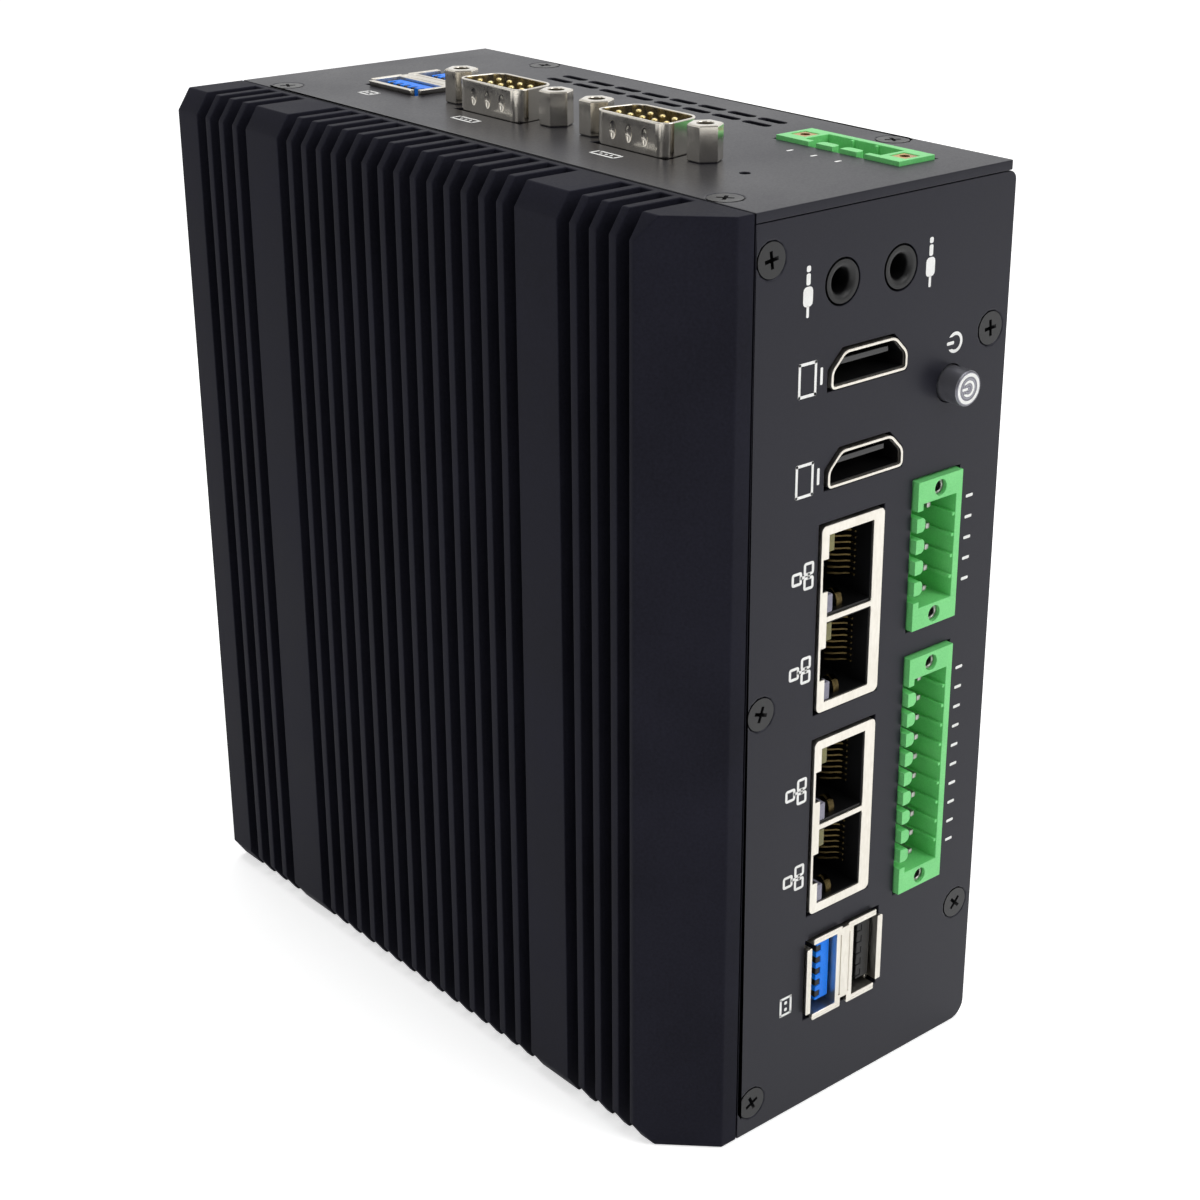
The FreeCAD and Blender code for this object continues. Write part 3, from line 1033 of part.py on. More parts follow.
def board_with_posts(name, x, lo, size, places, below):
    """A board with screw holes, hexagonal standoffs below it and hexagon screws through it."""
    drill = []
    stands = []
    bolts = []
    for i, (y, z) in enumerate(places):
        drill.append(prism(f"{name}_hole_{i}", (x, y, z), "+x", BOLT_ROOM, "dims.board_t"))
        stand = prism(f"{name}_stand_{i}", (f"{x} - {below}", y, z), "+x", "dims.post_d / 2", below)
        deep = prism(f"{name}_deep_{i}", (x, y, z), "-x", BOLT_ROOM, "dims.bolt_len + dims.screw_fit")
        stands.append(cut(f"{name}_post_{i}", stand, [deep]))
        shank = prism(f"{name}_shank_{i}", (f"{x} + dims.board_t", y, z), "-x", "dims.bolt_d / 2",
                      "dims.board_t + dims.bolt_len")
        head = prism(f"{name}_head_{i}", (f"{x} + dims.board_t", y, z), "+x", "dims.bolt_head_d / 2",
                     "dims.bolt_head_t")
        bolts.append(fuse(f"{name}_bolt_{i}", [shank, head]))
    plate = box(name + "_plate", (x, *lo), ("dims.board_t", *size))
    keep(cut(name, plate, drill), name)
    return stands, bolts


stands, bolts = board_with_posts("main_board", "levels.x_main", (MAIN_Y, MAIN_Z),
                                 (MAIN_D, f"levels.z_main_top - {MAIN_Z}"), main_posts, "dims.main_lift")
keep(group("board_standoffs", stands), "board_standoffs")
risers, more_bolts = board_with_posts("port_board", "levels.x_io", (MAIN_Y, IO_Z),
                                      ("dims.io_depth", f"levels.z_lid - dims.io_head - {IO_Z}"), io_posts,
                                      "(levels.x_io - levels.x_main_top)")
keep(group("board_risers", risers), "board_risers")
keep(group("board_screws", bolts + more_bolts), "board_screws")


def middle(name, x, thick, wide):
    """A square slab centred on the processor."""
    return box(name, (x, f"-{wide} / 2", f"dims.chip_z - {wide} / 2"), (thick, wide, wide))


keep(middle("processor", "levels.x_main - dims.chip_t", "dims.chip_t", "dims.chip_w"), "processor")
keep(middle("thermal_pad", "levels.x_main - dims.chip_t - dims.pad_t", "dims.pad_t", "dims.pad_w"),
     "thermal_pad")
keep(middle("heat_spreader", "levels.x_seam + dims.sink_base", "dims.main_lift - dims.chip_t - dims.pad_t",
            "dims.spreader_w"), "heat_spreader")

# Memory, storage and backup cell on the outer face of the main board.
keep(box("memory_socket", ("levels.x_main_top", "levels.y_face + dims.ram_y", "dims.ram_z"),
         ("dims.ram_rise", "dims.ram_len", "dims.ram_sock")), "memory_socket")
keep(box("memory_module", ("levels.x_main_top + (dims.ram_rise - dims.ram_t) / 2",
                           "levels.y_face + dims.ram_y + (dims.ram_len - dims.ram_w) / 2",
                           "dims.ram_z + dims.ram_sock"),
         ("dims.ram_t", "dims.ram_w", "dims.ram_deep")), "memory_module")
DISK_Y = "(levels.y_back - dims.sheet_t - dims.disk_rear - dims.disk_len)"
keep(box("storage_socket", ("levels.x_main_top", f"{DISK_Y} - dims.disk_sock", "dims.disk_z"),
         ("dims.disk_rise + dims.disk_t", "dims.disk_sock", "dims.disk_w")), "storage_socket")
keep(box("storage_module", ("levels.x_main_top + dims.disk_rise", DISK_Y, "dims.disk_z"),
         ("dims.disk_t", "dims.disk_len", "dims.disk_w")), "storage_module")
keep(prism("storage_post", ("levels.x_main_top", f"{DISK_Y} + dims.disk_len - dims.post_d / 2",
                            "dims.disk_z + dims.disk_w / 2"), "+x", "dims.post_d / 2", "dims.disk_rise"),
     "storage_post")
keep(prism("backup_cell", ("levels.x_main_top", "levels.y_face + dims.cell_y", "dims.cell_z"), "+x",
           "dims.cell_d / 2", "dims.cell_t", 24), "backup_cell")

# Rail bracket on the back: own frame has Y away from the case and Z up from the rail's middle.
clip_place = ("0", "levels.y_back", "levels.z_mid")
HOOK_Y = "(dims.clip_t + dims.rail_slot)"
clip = new_body("clip_plate", *clip_place)
sk = sketch(clip, "YZ_Plane", "profile")
loop(sk, [("0", "-dims.clip_down"), ("dims.clip_t", "-dims.clip_down"), ("dims.clip_t", "-levels.rail_low"),
          (HOOK_Y, "-levels.rail_low"), (HOOK_Y, "-levels.rail_low - dims.hook_in"),
          (f"{HOOK_Y} + dims.hook_t", "-levels.rail_low - dims.hook_in / 2"),
          (f"{HOOK_Y} + dims.hook_t", "-levels.rail_low + dims.hook_h / 2"),
          ("dims.clip_t", "-levels.rail_low + dims.hook_h + dims.hook_t"), ("dims.clip_t", "dims.clip_up"),
          ("0", "dims.clip_up")])
feature(clip, "Pad", "section", sk, "dims.clip_w", mid=True)
sk = sketch(clip, "XZ_Plane", "groove")
area(sk, "-dims.slide_w / 2 - dims.slide_gap", "-dims.clip_down", "(dims.slide_w + 2 * dims.slide_gap)",
     "(dims.clip_down + dims.slide_top + dims.slide_gap)")
area(sk, "-dims.peg_w / 2", "-dims.peg_z", "dims.peg_w", "dims.peg_h")
feature(clip, "Pocket", "groove_cut", sk, "dims.slide_t")
sk = sketch(clip, "XZ_Plane", "window")
area(sk, "-dims.slide_hook / 2 - dims.slide_gap", "-dims.clip_down",
     "(dims.slide_hook + 2 * dims.slide_gap)", "(dims.clip_down + levels.rail_low + dims.slide_gap)")
feature(clip, "Pocket", "window_cut", sk)
clip_face = ("0", "levels.y_back + dims.clip_t", "levels.z_mid")
room = sunk_screws("clip_sinks", clip_face, "-y", CLIP_SCREWS, "dims.clip_t * 2", "dims.screw_room")
keep(cut("rail_bracket", clip, [room]), "rail_bracket")

slide = new_body("rail_latch", *clip_place)
sk = sketch(slide, "XZ_Plane", "bar", "-dims.slide_gap")
area(sk, "-dims.slide_w / 2", "-dims.clip_down - dims.slide_tail", "dims.slide_w",
     "(dims.clip_down + dims.slide_tail + dims.slide_top)")
feature(slide, "Pad", "bar_plate", sk, "dims.slide_t - 2 * dims.slide_gap", back=True)
sk = sketch(slide, "YZ_Plane", "hook")
loop(sk, [("dims.slide_t - dims.slide_gap * 2", "levels.rail_low"), (HOOK_Y, "levels.rail_low"),
          (HOOK_Y, "levels.rail_low + dims.hook_in"),
          (f"{HOOK_Y} + dims.hook_t", "levels.rail_low + dims.hook_in / 2"),
          (f"{HOOK_Y} + dims.hook_t", "levels.rail_low - dims.hook_h / 2"),
          ("dims.clip_t", "levels.rail_low - dims.hook_h"),
          ("dims.slide_t - dims.slide_gap * 2", "levels.rail_low - dims.hook_h")])
feature(slide, "Pad", "hook_block", sk, "dims.slide_hook", mid=True)
sk = sketch(slide, "XZ_Plane", "window")
area(sk, "-dims.coil_room / 2", "levels.window_low", "dims.coil_room",
     "(levels.window_high - levels.window_low)")
area(sk, "-dims.slide_pry_w / 2", "-dims.clip_down - dims.slide_tail + dims.slide_pry", "dims.slide_pry_w",
     "dims.slide_pry")
feature(slide, "Pocket", "window_cut", sk, "dims.slide_t - dims.slide_gap / 2")
keep(slide, "rail_latch")

coil = new_body("rail_spring", "0", "levels.y_back + dims.slide_t / 2",
                "levels.z_mid - dims.peg_z + dims.peg_h + dims.coil_seat + dims.coil_wire / 2")
sk = sketch(coil, "XZ_Plane", "wire")
area(sk, "(dims.coil_r - dims.coil_wire / 2)", "-dims.coil_wire / 2", "dims.coil_wire", "dims.coil_wire")
doc.recompute()
wound = coil.newObject("PartDesign::AdditiveHelix", "rail_spring_coil")
wound.Profile = sk
wound.ReferenceAxis = (sk, ["V_Axis"])
wound.Mode = "pitch-height-angle"
wound.setExpression("Pitch", "dims.coil_pitch")
wound.setExpression("Height", "dims.coil_space - dims.coil_wire")
keep(coil, "rail_spring")

keep(sunk_screws("rail_screws", clip_face, "-y", CLIP_SCREWS, "dims.clip_screw_len"), "rail_screws")

doc.recompute()
bad = [o.Name for o in doc.Objects if "Invalid" in o.State or "Error" in o.State]
if bad:
    raise RuntimeError("failed objects: " + ", ".join(bad))
for obj in NODES:
    if obj.Shape.isNull() or not obj.Shape.isValid() or not obj.Shape.Solids:
        raise RuntimeError("no valid solid in " + obj.Label)
os.makedirs("parts", exist_ok=True)
for obj in NODES:
    obj.Shape.exportStep(os.path.join("parts", obj.Label + ".step"))
print(len(NODES), "nodes,", sum(len(o.Shape.Solids) for o in NODES), "solids")
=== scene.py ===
"""Dress the rail-mounted box computer and set it in a plain studio.

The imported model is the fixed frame. Each class below holds one sub-assembly: its sizes are fields and its
methods model the pieces and give them their finish. Lengths are millimetres while a piece is modelled, and
settle() turns a finished piece into metres, with its place in its mesh.
"""
import json
import logging
import math
from contextlib import contextmanager
from dataclasses import dataclass, field
from enum import Enum
from typing import Callable, Iterator, Sequence

import bmesh
import bpy
from mathutils import Matrix, Vector


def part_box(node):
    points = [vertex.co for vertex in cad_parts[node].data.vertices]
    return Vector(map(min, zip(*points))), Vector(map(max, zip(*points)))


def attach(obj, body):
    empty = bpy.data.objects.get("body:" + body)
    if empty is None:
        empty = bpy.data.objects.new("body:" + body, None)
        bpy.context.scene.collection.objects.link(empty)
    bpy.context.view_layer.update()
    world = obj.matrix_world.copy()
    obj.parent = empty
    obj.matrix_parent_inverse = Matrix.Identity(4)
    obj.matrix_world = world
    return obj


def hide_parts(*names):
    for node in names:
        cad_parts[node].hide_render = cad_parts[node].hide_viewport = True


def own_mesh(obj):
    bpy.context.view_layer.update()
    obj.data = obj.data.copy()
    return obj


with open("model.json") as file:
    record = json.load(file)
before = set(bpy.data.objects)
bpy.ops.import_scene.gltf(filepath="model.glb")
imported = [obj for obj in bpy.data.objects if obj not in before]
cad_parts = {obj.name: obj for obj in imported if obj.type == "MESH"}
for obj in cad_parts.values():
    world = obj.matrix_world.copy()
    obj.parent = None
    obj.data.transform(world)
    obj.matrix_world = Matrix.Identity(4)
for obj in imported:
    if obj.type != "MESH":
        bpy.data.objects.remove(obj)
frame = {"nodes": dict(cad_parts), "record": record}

Piece = bpy.types.Object
Test = Callable[[Vector, Vector], bool]
Range = tuple[float, float]
Triple = tuple[float, float, float]
# Bars of a printed sign: size across, size along, and the two coordinates of the middle.
Bars = tuple[tuple[float, float, float, float], ...]

LOG = logging.getLogger("box_computer")
MM = 0.001
# How far the keyed side of the power header stands back from that of its CAD node.
POWER_SETBACK = 2.2
# The part of a unit direction along an axis: above STRAIGHT it runs along it, below LEVEL square to it.
STRAIGHT = 0.9
LEVEL = 0.1
# Distance within which a face or an edge counts as lying in a plane.
CLOSE = 0.01
# How far a cutting shape reaches past the surface that it cuts.
OVER = 1.0
# Turn of the power sign, which lies on its side on the panel and on the button, in degrees.
SIDEWAYS = 90.0
# Greatest angle between two faces that is shaded smooth, in degrees.
SMOOTH = 35.0
# Thickness of printed ink.
INK = 0.02


class Pick(Enum):
    """What a selection in an open mesh is made of."""

    FACES = "FACE"
    EDGES = "EDGE"


class Facing(Enum):
    """The side of the case that a piece looks out of, as a turn about the x axis."""

    FRONT = math.pi / 2
    TOP = 0.0
    REAR = -math.pi / 2
    FOOT = math.pi

    @property
    def along(self) -> int:
        """Axis of a row of contacts on this side."""
        return 2 if self is Facing.FRONT else 1

    @property
    def inward(self) -> int:
        """Axis of the depth behind a mouth on this side."""
        return 1 if self is Facing.FRONT else 2

    def mouth(self, low: Vector, high: Vector, lift: float = 0.0) -> float:
        """Level of a mouth on this side.

        Args:
            low: Lowest corner of the socket.
            high: Its highest corner.
            lift: How far the mouth comes forward of them.

        Returns:
            The level.
        """
        return low.y - lift if self is Facing.FRONT else high.z + lift

    def span(self, start: Triple, x: Range, u: Range, v: Range) -> tuple[Vector, Vector]:
        """Corners of a box that is given in the directions of a socket on this side.

        Args:
            start: Where the ranges start: across the row, along it, and at the mouth.
            x: Range across the row.
            u: Range along the row.
            v: Range of depth behind the mouth.

        Returns:
            Lowest and highest corner.
        """
        across, along, mouth = start
        if self is Facing.FRONT:
            return (Vector((across + x[0], mouth + v[0], along + u[0])),
                    Vector((across + x[1], mouth + v[1], along + u[1])))
        return (Vector((across + x[0], along + u[0], mouth - v[1])),
                Vector((across + x[1], along + u[1], mouth - v[0])))

    def place(self, at: Sequence[float], twist: float = 0.0) -> Matrix:
        """Turn a piece that was modelled looking up, and put it in place.

        Args:
            at: Where the piece's own origin goes, in millimetres.
            twist: Turn about the piece's own axis, in degrees.

        Returns:
            The matrix that does it.
        """
        spin = Matrix.Rotation(math.radians(twist), 4, "Z")
        return Matrix.Translation(Vector(at)) @ Matrix.Rotation(self.value, 4, "X") @ spin


class Pattern(Enum):
    """How a finish is broken up at close range."""

    GRAIN = "grain"
    RINGS = "rings"
    TRACKS = "tracks"


def linear(code: str) -> tuple[float, float, float, float]:
    """Turn an sRGB hex colour into linear light.

    Args:
        code: Six hex digits after a hash sign.

    Returns:
        Red, green, blue and a full alpha.
    """
    parts = [int(code[i:i + 2], 16) / 255 for i in (1, 3, 5)]
    light = [c / 12.92 if c <= 0.04045 else ((c + 0.055) / 1.055) ** 2.4 for c in parts]
    return light[0], light[1], light[2], 1.0


def add_node(tree: bpy.types.NodeTree, kind: str, inputs: dict | None = None,
             **settings: object) -> bpy.types.Node:
    """Add one node with its settings, values and links.

    Args:
        tree: The node tree.
        kind: The node's type name.
        inputs: Values, or sockets to link, by input name or number.
        settings: Properties of the node.

    Returns:
        The new node.
    """
    node = tree.nodes.new(kind)
    for name, value in settings.items():
        setattr(node, name, value)
    for name, value in (inputs or {}).items():
        if isinstance(value, bpy.types.NodeSocket):
            tree.links.new(value, node.inputs[name])
        else:
            node.inputs[name].default_value = value
    return node


@dataclass(frozen=True)
class Finish:
    """A real material with the way that its surface was made; its lengths are millimetres."""

    name: str
    pale: str
    deep: str
    rough: Range
    metallic: float = 0.0
    ior: float = 1.5
    specular: float = 0.5
    grain: float = 0.3
    relief: float = 0.01
    patch: float = 14.0
    sheen: str = "#FFFFFF"
    stretch: Triple = (1.0, 1.0, 1.0)
    centre: Triple = (0.0, 0.0, 0.0)
    pattern: Pattern = Pattern.GRAIN

    def material(self) -> bpy.types.Material:
        """Make the node material once, and give the same one afterwards.

        Returns:
            The material.
        """
        known = bpy.data.materials.get(self.name)
        if known:
            return known
        made = bpy.data.materials.new(self.name)
        made.use_nodes = True
        tree = made.node_tree
        tree.nodes.clear()
        coords = add_node(tree, "ShaderNodeTexCoord")
        moved = add_node(tree, "ShaderNodeMapping", {
            "Vector": coords.outputs["Object"], "Location": tuple(-c * MM for c in self.centre),
            "Scale": self.stretch})
        fine = self.broken_up(tree, moved.outputs["Vector"])
        patches = add_node(tree, "ShaderNodeTexNoise", {
            "Vector": moved.outputs["Vector"], "Scale": 1 / (self.patch * MM), "Detail": 3.0})
        blend = add_node(tree, "ShaderNodeMath", {0: fine, 1: patches.outputs["Fac"]}, operation="ADD")
        spread = {"Value": blend.outputs[0], "From Min": 0.7, "From Max": 1.3}
        share = add_node(tree, "ShaderNodeMapRange", spread)
        tone = add_node(tree, "ShaderNodeMix", {
            "Factor": share.outputs["Result"], 6: linear(self.deep), 7: linear(self.pale)}, data_type="RGBA")
        gloss = add_node(tree, "ShaderNodeMapRange", {
            **spread, "To Min": self.rough[0], "To Max": self.rough[1]})
        bump = add_node(tree, "ShaderNodeBump", {
            "Height": fine, "Strength": 0.6, "Distance": self.relief * MM})
        shader = add_node(tree, "ShaderNodeBsdfPrincipled", {
            "Base Color": tone.outputs[2], "Metallic": self.metallic, "Roughness": gloss.outputs["Result"],
            "IOR": self.ior, "Specular IOR Level": self.specular, "Specular Tint": linear(self.sheen),
            "Normal": bump.outputs["Normal"]})
        add_node(tree, "ShaderNodeOutputMaterial", {"Surface": shader.outputs["BSDF"]})
        return made

    def broken_up(self, tree: bpy.types.NodeTree, place: bpy.types.NodeSocket) -> bpy.types.NodeSocket:
        """Add the close pattern of the finish.

        Args:
            tree: The node tree.
            place: The coordinates to draw it on.

        Returns:
            A socket from 0 to 1.
        """
        scale = 1 / (self.grain * MM)
        if self.pattern is Pattern.RINGS:
            per_ring = 6.3
            drawn = add_node(tree, "ShaderNodeTexWave", {
                "Vector": place, "Scale": scale / per_ring, "Distortion": 0.6, "Detail": 2.0},
                wave_type="RINGS", rings_direction="Y")
        elif self.pattern is Pattern.TRACKS:
            drawn = add_node(tree, "ShaderNodeTexBrick", {
                "Vector": place, "Scale": scale, "Mortar Size": 0.03})
        else:
            drawn = add_node(tree, "ShaderNodeTexNoise", {
                "Vector": place, "Scale": scale, "Detail": 4.0, "Roughness": 0.55})
        return drawn.outputs["Fac"]


# Powder coat on extruded aluminium: charcoal with a fine orange-peel that breaks up every highlight.
HEATSINK_COAT = Finish("powder_coated_aluminium_extrusion", "#22222B", "#1A1A21", (0.44, 0.56),
                       specular=0.04, sheen="#EEEEFF", grain=0.45, relief=0.012, patch=18.0)
# Powder coat on sheet steel: the same charcoal, smoother, so the lid softly mirrors what stands on it.
PANEL_COAT = Finish("powder_coated_sheet_steel", "#1B1B22", "#15151B", (0.30, 0.40),
                    specular=0.22, sheen="#F0F0FF", grain=0.35, relief=0.005, patch=22.0)
# Black oxide on turned steel: near black with a dull oily gloss.
BLACK_OXIDE = Finish("black_oxide_steel_screw", "#151517", "#0A0A0C", (0.30, 0.44),
                     metallic=0.2, grain=0.4, relief=0.008, patch=3.0)
# Nickel plate on pressed steel: warm off-white metal with faint upright rolling marks.
NICKEL = Finish("nickel_plated_pressed_steel", "#DCD8CF", "#CBC6BB", (0.28, 0.42),
                metallic=1.0, grain=0.5, relief=0.004, patch=5.0, stretch=(1.0, 1.0, 0.35))
# Bright nickel on the serial shells and posts: cleaner and shinier, so it shows dark and white bands.
BRIGHT_NICKEL = Finish("bright_nickel_shell", "#E6E1D6", "#D8D2C6", (0.13, 0.20),
                       metallic=1.0, grain=1.4, relief=0.0012, patch=6.0)
# Glass-filled moulded plastics: even colour, satin, with a spark-eroded grain. The real grain is finer, and
# is drawn this coarse so that it shows.
BLUE_PLASTIC = Finish("moulded_blue_polyester", "#0089FF", "#006EEA", (0.36, 0.48),
                      specular=0.35, grain=0.25, relief=0.006)
BLACK_PLASTIC = Finish("moulded_black_polyester", "#111112", "#080809", (0.36, 0.52),
                       specular=0.35, grain=0.25, relief=0.008)
GREEN_PLASTIC = Finish("moulded_green_polyamide", "#7FDD86", "#66CB72", (0.34, 0.46),
                       relief=0.008, patch=6.0)
# Black plastic from a polished mould: glossy, so a tongue catches the light along its edge.
GLOSS_BLACK = Finish("polished_black_polyester", "#1A1A1B", "#0C0C0D", (0.16, 0.28),
                     grain=0.25, relief=0.003)
# Thin gold over nickel: warm yellow with small dark worn spots.
GOLD = Finish("gold_plated_contact", "#EBDCA8", "#C2AA6C", (0.20, 0.34),
              metallic=1.0, relief=0.003, patch=1.5)
# Dull tin on the header pins and bushes: grey with a soft shine.
TIN = Finish("tin_plated_pin", "#B9B8B3", "#8E8D89", (0.30, 0.46),
             metallic=1.0, grain=0.25, relief=0.004, patch=2.0)
# Spring wire in the network jacks and their shield springs: gold flash darkened to a dull bronze as painted
# shade of the inside of the ports, so it only just shows in the dark.
SPRING_WIRE_IN_SHADE = Finish("gold_wire_in_painted_shade", "#655736", "#403722", (0.34, 0.48),
                     metallic=1.0, relief=0.003, patch=1.5)
# Machined brass: yellow metal with a fine uneven shine.
BRASS = Finish("machined_brass_insert", "#D6A75B", "#A97B36", (0.22, 0.36),
               metallic=1.0, grain=0.35, relief=0.005, patch=2.5)
# Frosted light windows, unlit: a milky plastic, one tinted olive and one lavender.
OLIVE_WINDOW = Finish("frosted_olive_window", "#7C7846", "#5E5A32", (0.40, 0.55), patch=2.0)
LAVENDER_WINDOW = Finish("frosted_lavender_window", "#908E9C", "#727082", (0.40, 0.55), patch=2.0)
# Turned stainless steel: lathe rings round the button's own axis, drawn coarser than real ones to show.
TURNED_STEEL = Finish("turned_stainless_button", "#8B8B92", "#6A6A71", (0.26, 0.38),
                      metallic=0.8, grain=0.22, relief=0.004, patch=3.0,
                      centre=(21.0, -65.0, 117.6), pattern=Pattern.RINGS)
# Screen print: matt white ink that is slightly uneven.
WHITE_INK = Finish("screen_printed_white_ink", "#F7F7F5", "#E6E6E3", (0.50, 0.62),
                   grain=0.2, relief=0.003, patch=2.0)
# Solder mask over copper: deep green with paler etched tracks.
SOLDER_MASK = Finish("solder_masked_glass_epoxy", "#1F5A3A", "#123F27", (0.28, 0.42),
                     grain=2.4, relief=0.02, pattern=Pattern.TRACKS)
# Silicone pad: pale grey and almost without shine.
THERMAL_PAD = Finish("silicone_thermal_pad", "#B0B3BD", "#989BA6", (0.70, 0.85), grain=0.8, relief=0.03)
# Milled aluminium: bright, with long upright cutter marks.
BARE_ALUMINIUM = Finish("milled_aluminium", "#D4D4D2", "#B2B2B0", (0.28, 0.42),
                        metallic=1.0, grain=0.6, relief=0.008, stretch=(1.0, 1.0, 0.1))
# Zinc plate on the clip: cool grey crystals under a dull shine.
ZINC = Finish("zinc_plated_steel_clip", "#C3C6CA", "#9A9DA3", (0.30, 0.46),
              metallic=1.0, grain=1.6, patch=5.0)
# Oiled spring steel: darker and a little shinier than the clip.
SPRING_STEEL = Finish("oiled_spring_steel", "#8C8D90", "#5E5F63", (0.26, 0.38),
                      metallic=1.0, grain=0.4, relief=0.004)

SLOT_FINISH: dict[str, Finish] = {
    "black_aluminium": HEATSINK_COAT, "black_panel": PANEL_COAT, "black_screw": BLACK_OXIDE,
    "plated_shell": NICKEL, "blue_plastic": BLUE_PLASTIC, "black_plastic": BLACK_PLASTIC,
    "green_plastic": GREEN_PLASTIC, "gold_contact": GOLD, "tinned_pin": TIN, "brass_insert": BRASS,
    "light_window": OLIVE_WINDOW, "button_metal": TURNED_STEEL, "circuit_board": SOLDER_MASK,
    "pad_rubber": THERMAL_PAD, "bare_aluminium": BARE_ALUMINIUM, "clip_metal": ZINC, "clip_latch": ZINC,
}
NODE_SLOT: dict[str, str] = {s["node"]: s["material_slot"] for s in frame["record"]["subparts"]}


def corners(node: str) -> tuple[Vector, Vector]:
    """Lowest and highest corner of a CAD node, in millimetres."""
    low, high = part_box(node)
    return low / MM, high / MM


def islands(node: str) -> list[tuple[Vector, Vector]]:
    """Corners of every separate solid of a CAD node, in millimetres.

    Args:
        node: The CAD node.

    Returns:
        Lowest and highest corner of each, sorted by place.
    """
    mesh = bmesh.new()
    mesh.from_mesh(frame["nodes"][node].data)
    bmesh.ops.remove_doubles(mesh, verts=mesh.verts, dist=2e-6)
    left = set(mesh.verts)
    boxes = []
    while left:
        stack = [left.pop()]
        part = []
        while stack:
            vert = stack.pop()
            part.append(vert.co / MM)
            for edge in vert.link_edges:
                other = edge.other_vert(vert)
                if other in left:
                    left.remove(other)
                    stack.append(other)
        low = Vector([min(p[i] for p in part) for i in range(3)])
        high = Vector([max(p[i] for p in part) for i in range(3)])
        boxes.append((low, high))
    mesh.free()
    return sorted(boxes, key=lambda pair: tuple(round(v, 3) for v in pair[0]))


def shift(x: float, y: float, z: float) -> Matrix:
    """Move a piece without turning it."""
    return Matrix.Translation(Vector((x, y, z)))


def activate(piece: Piece) -> None:
    """Make one piece the only selected and the active one.

    Args:
        piece: The piece.
    """
    bpy.ops.object.select_all(action="DESELECT")
    piece.select_set(True)
    bpy.context.view_layer.objects.active = piece


@contextmanager
def open_mesh(piece: Piece) -> Iterator[None]:
    """Open a piece in edit mode with nothing selected, and close it afterwards.

    Args:
        piece: The piece to work on.

    Returns:
        The context in which its mesh is open.
    """
    activate(piece)
    bpy.ops.object.mode_set(mode="EDIT")
    bpy.ops.mesh.select_all(action="DESELECT")
    yield
    bpy.ops.object.mode_set(mode="OBJECT")


def choose(piece: Piece, test: Test, pick: Pick = Pick.FACES) -> None:
    """Select the faces or edges of an open mesh by place and direction.

    Args:
        piece: The piece that is open in edit mode.
        test: Takes the middle of a face or edge, and its normal or its run.
        pick: Faces or edges.
    """
    bpy.ops.mesh.select_all(action="DESELECT")
    bpy.ops.mesh.select_mode(type=pick.value)
    mesh = bmesh.from_edit_mesh(piece.data)
    if pick is Pick.FACES:
        for face in mesh.faces:
            face.select_set(test(face.calc_center_median(), face.normal))
    else:
        for edge in mesh.edges:
            a, b = (v.co for v in edge.verts)
            edge.select_set(test((a + b) / 2, (b - a).normalized()))
    bmesh.update_edit_mesh(piece.data)


def bevel_edges(piece: Piece, test: Test, width: float, segments: int) -> None:
    """Bevel some edges of an open mesh.

    Args:
        piece: The piece that is open in edit mode.
        test: Takes the middle of an edge and its run.
        width: Width of the bevel.
        segments: Steps in it.
    """
    choose(piece, test, Pick.EDGES)
    bpy.ops.mesh.bevel(offset=width, segments=segments, affect="EDGES")


def extrude(x: float, y: float, z: float) -> None:
    """Draw the selected faces of an open mesh out by a step."""
    bpy.ops.mesh.extrude_region_move(TRANSFORM_OT_translate={"value": (x, y, z)})


def primitive(name: str, add: Callable, scale: Sequence[float] = (1.0, 1.0, 1.0),
              **settings: object) -> Piece:
    """Start a piece from a primitive, with nothing else selected and its place in its mesh.

    Args:
        name: The piece's name.
        add: The operator that adds the primitive.
        scale: How it is stretched along each axis.
        settings: What the operator is given.

    Returns:
        The new piece.
    """
    bpy.ops.object.select_all(action="DESELECT")
    add(**settings)
    piece = bpy.context.active_object
    piece.name = name
    piece.scale = scale
    bpy.ops.object.transform_apply(location=True, rotation=True, scale=True)
    return piece


def block(name: str, low: Sequence[float], high: Sequence[float]) -> Piece:
    """Start a piece from a cube between two corners.

    Args:
        name: The piece's name.
        low: Lowest corner.
        high: Highest corner.

    Returns:
        The new piece.
    """
    low, high = Vector(low), Vector(high)
    return primitive(name, bpy.ops.mesh.primitive_cube_add, high - low, size=1.0, location=(low + high) / 2)


def round_bar(name: str, radius: float, low: float, high: float, sides: int = 40,
              at: Range = (0.0, 0.0)) -> Piece:
    """Start a piece from an upright cylinder between two heights.

    Args:
        name: The piece's name.
        radius: Its radius.
        low: Its lower end.
        high: Its upper end.
        sides: Faces round it.
        at: Its axis.

    Returns:
        The new piece.
    """
    return primitive(name, bpy.ops.mesh.primitive_cylinder_add, vertices=sides, radius=radius,
                     depth=high - low, location=(*at, (low + high) / 2))


def cad_copy(node: str, name: str) -> Piece:
    """Copy a CAD node's mesh, merge its loose triangles and join its flat faces.

    Args:
        node: The CAD node.
        name: The new piece's name.

    Returns:
        The copy, in millimetres.
    """
    mesh = frame["nodes"][node].data.copy()
    mesh.name = name
    mesh.transform(Matrix.Scale(1 / MM, 4))
    mesh.materials.clear()
    piece = bpy.data.objects.new(name, mesh)
    bpy.context.scene.collection.objects.link(piece)
    activate(piece)
    bpy.ops.mesh.customdata_custom_splitnormals_clear()
    with open_mesh(piece):
        bpy.ops.mesh.select_all(action="SELECT")
        bpy.ops.mesh.remove_doubles(threshold=0.002)
        bpy.ops.mesh.dissolve_limited(angle_limit=math.radians(0.6))
        bpy.ops.mesh.select_all(action="DESELECT")
    return piece


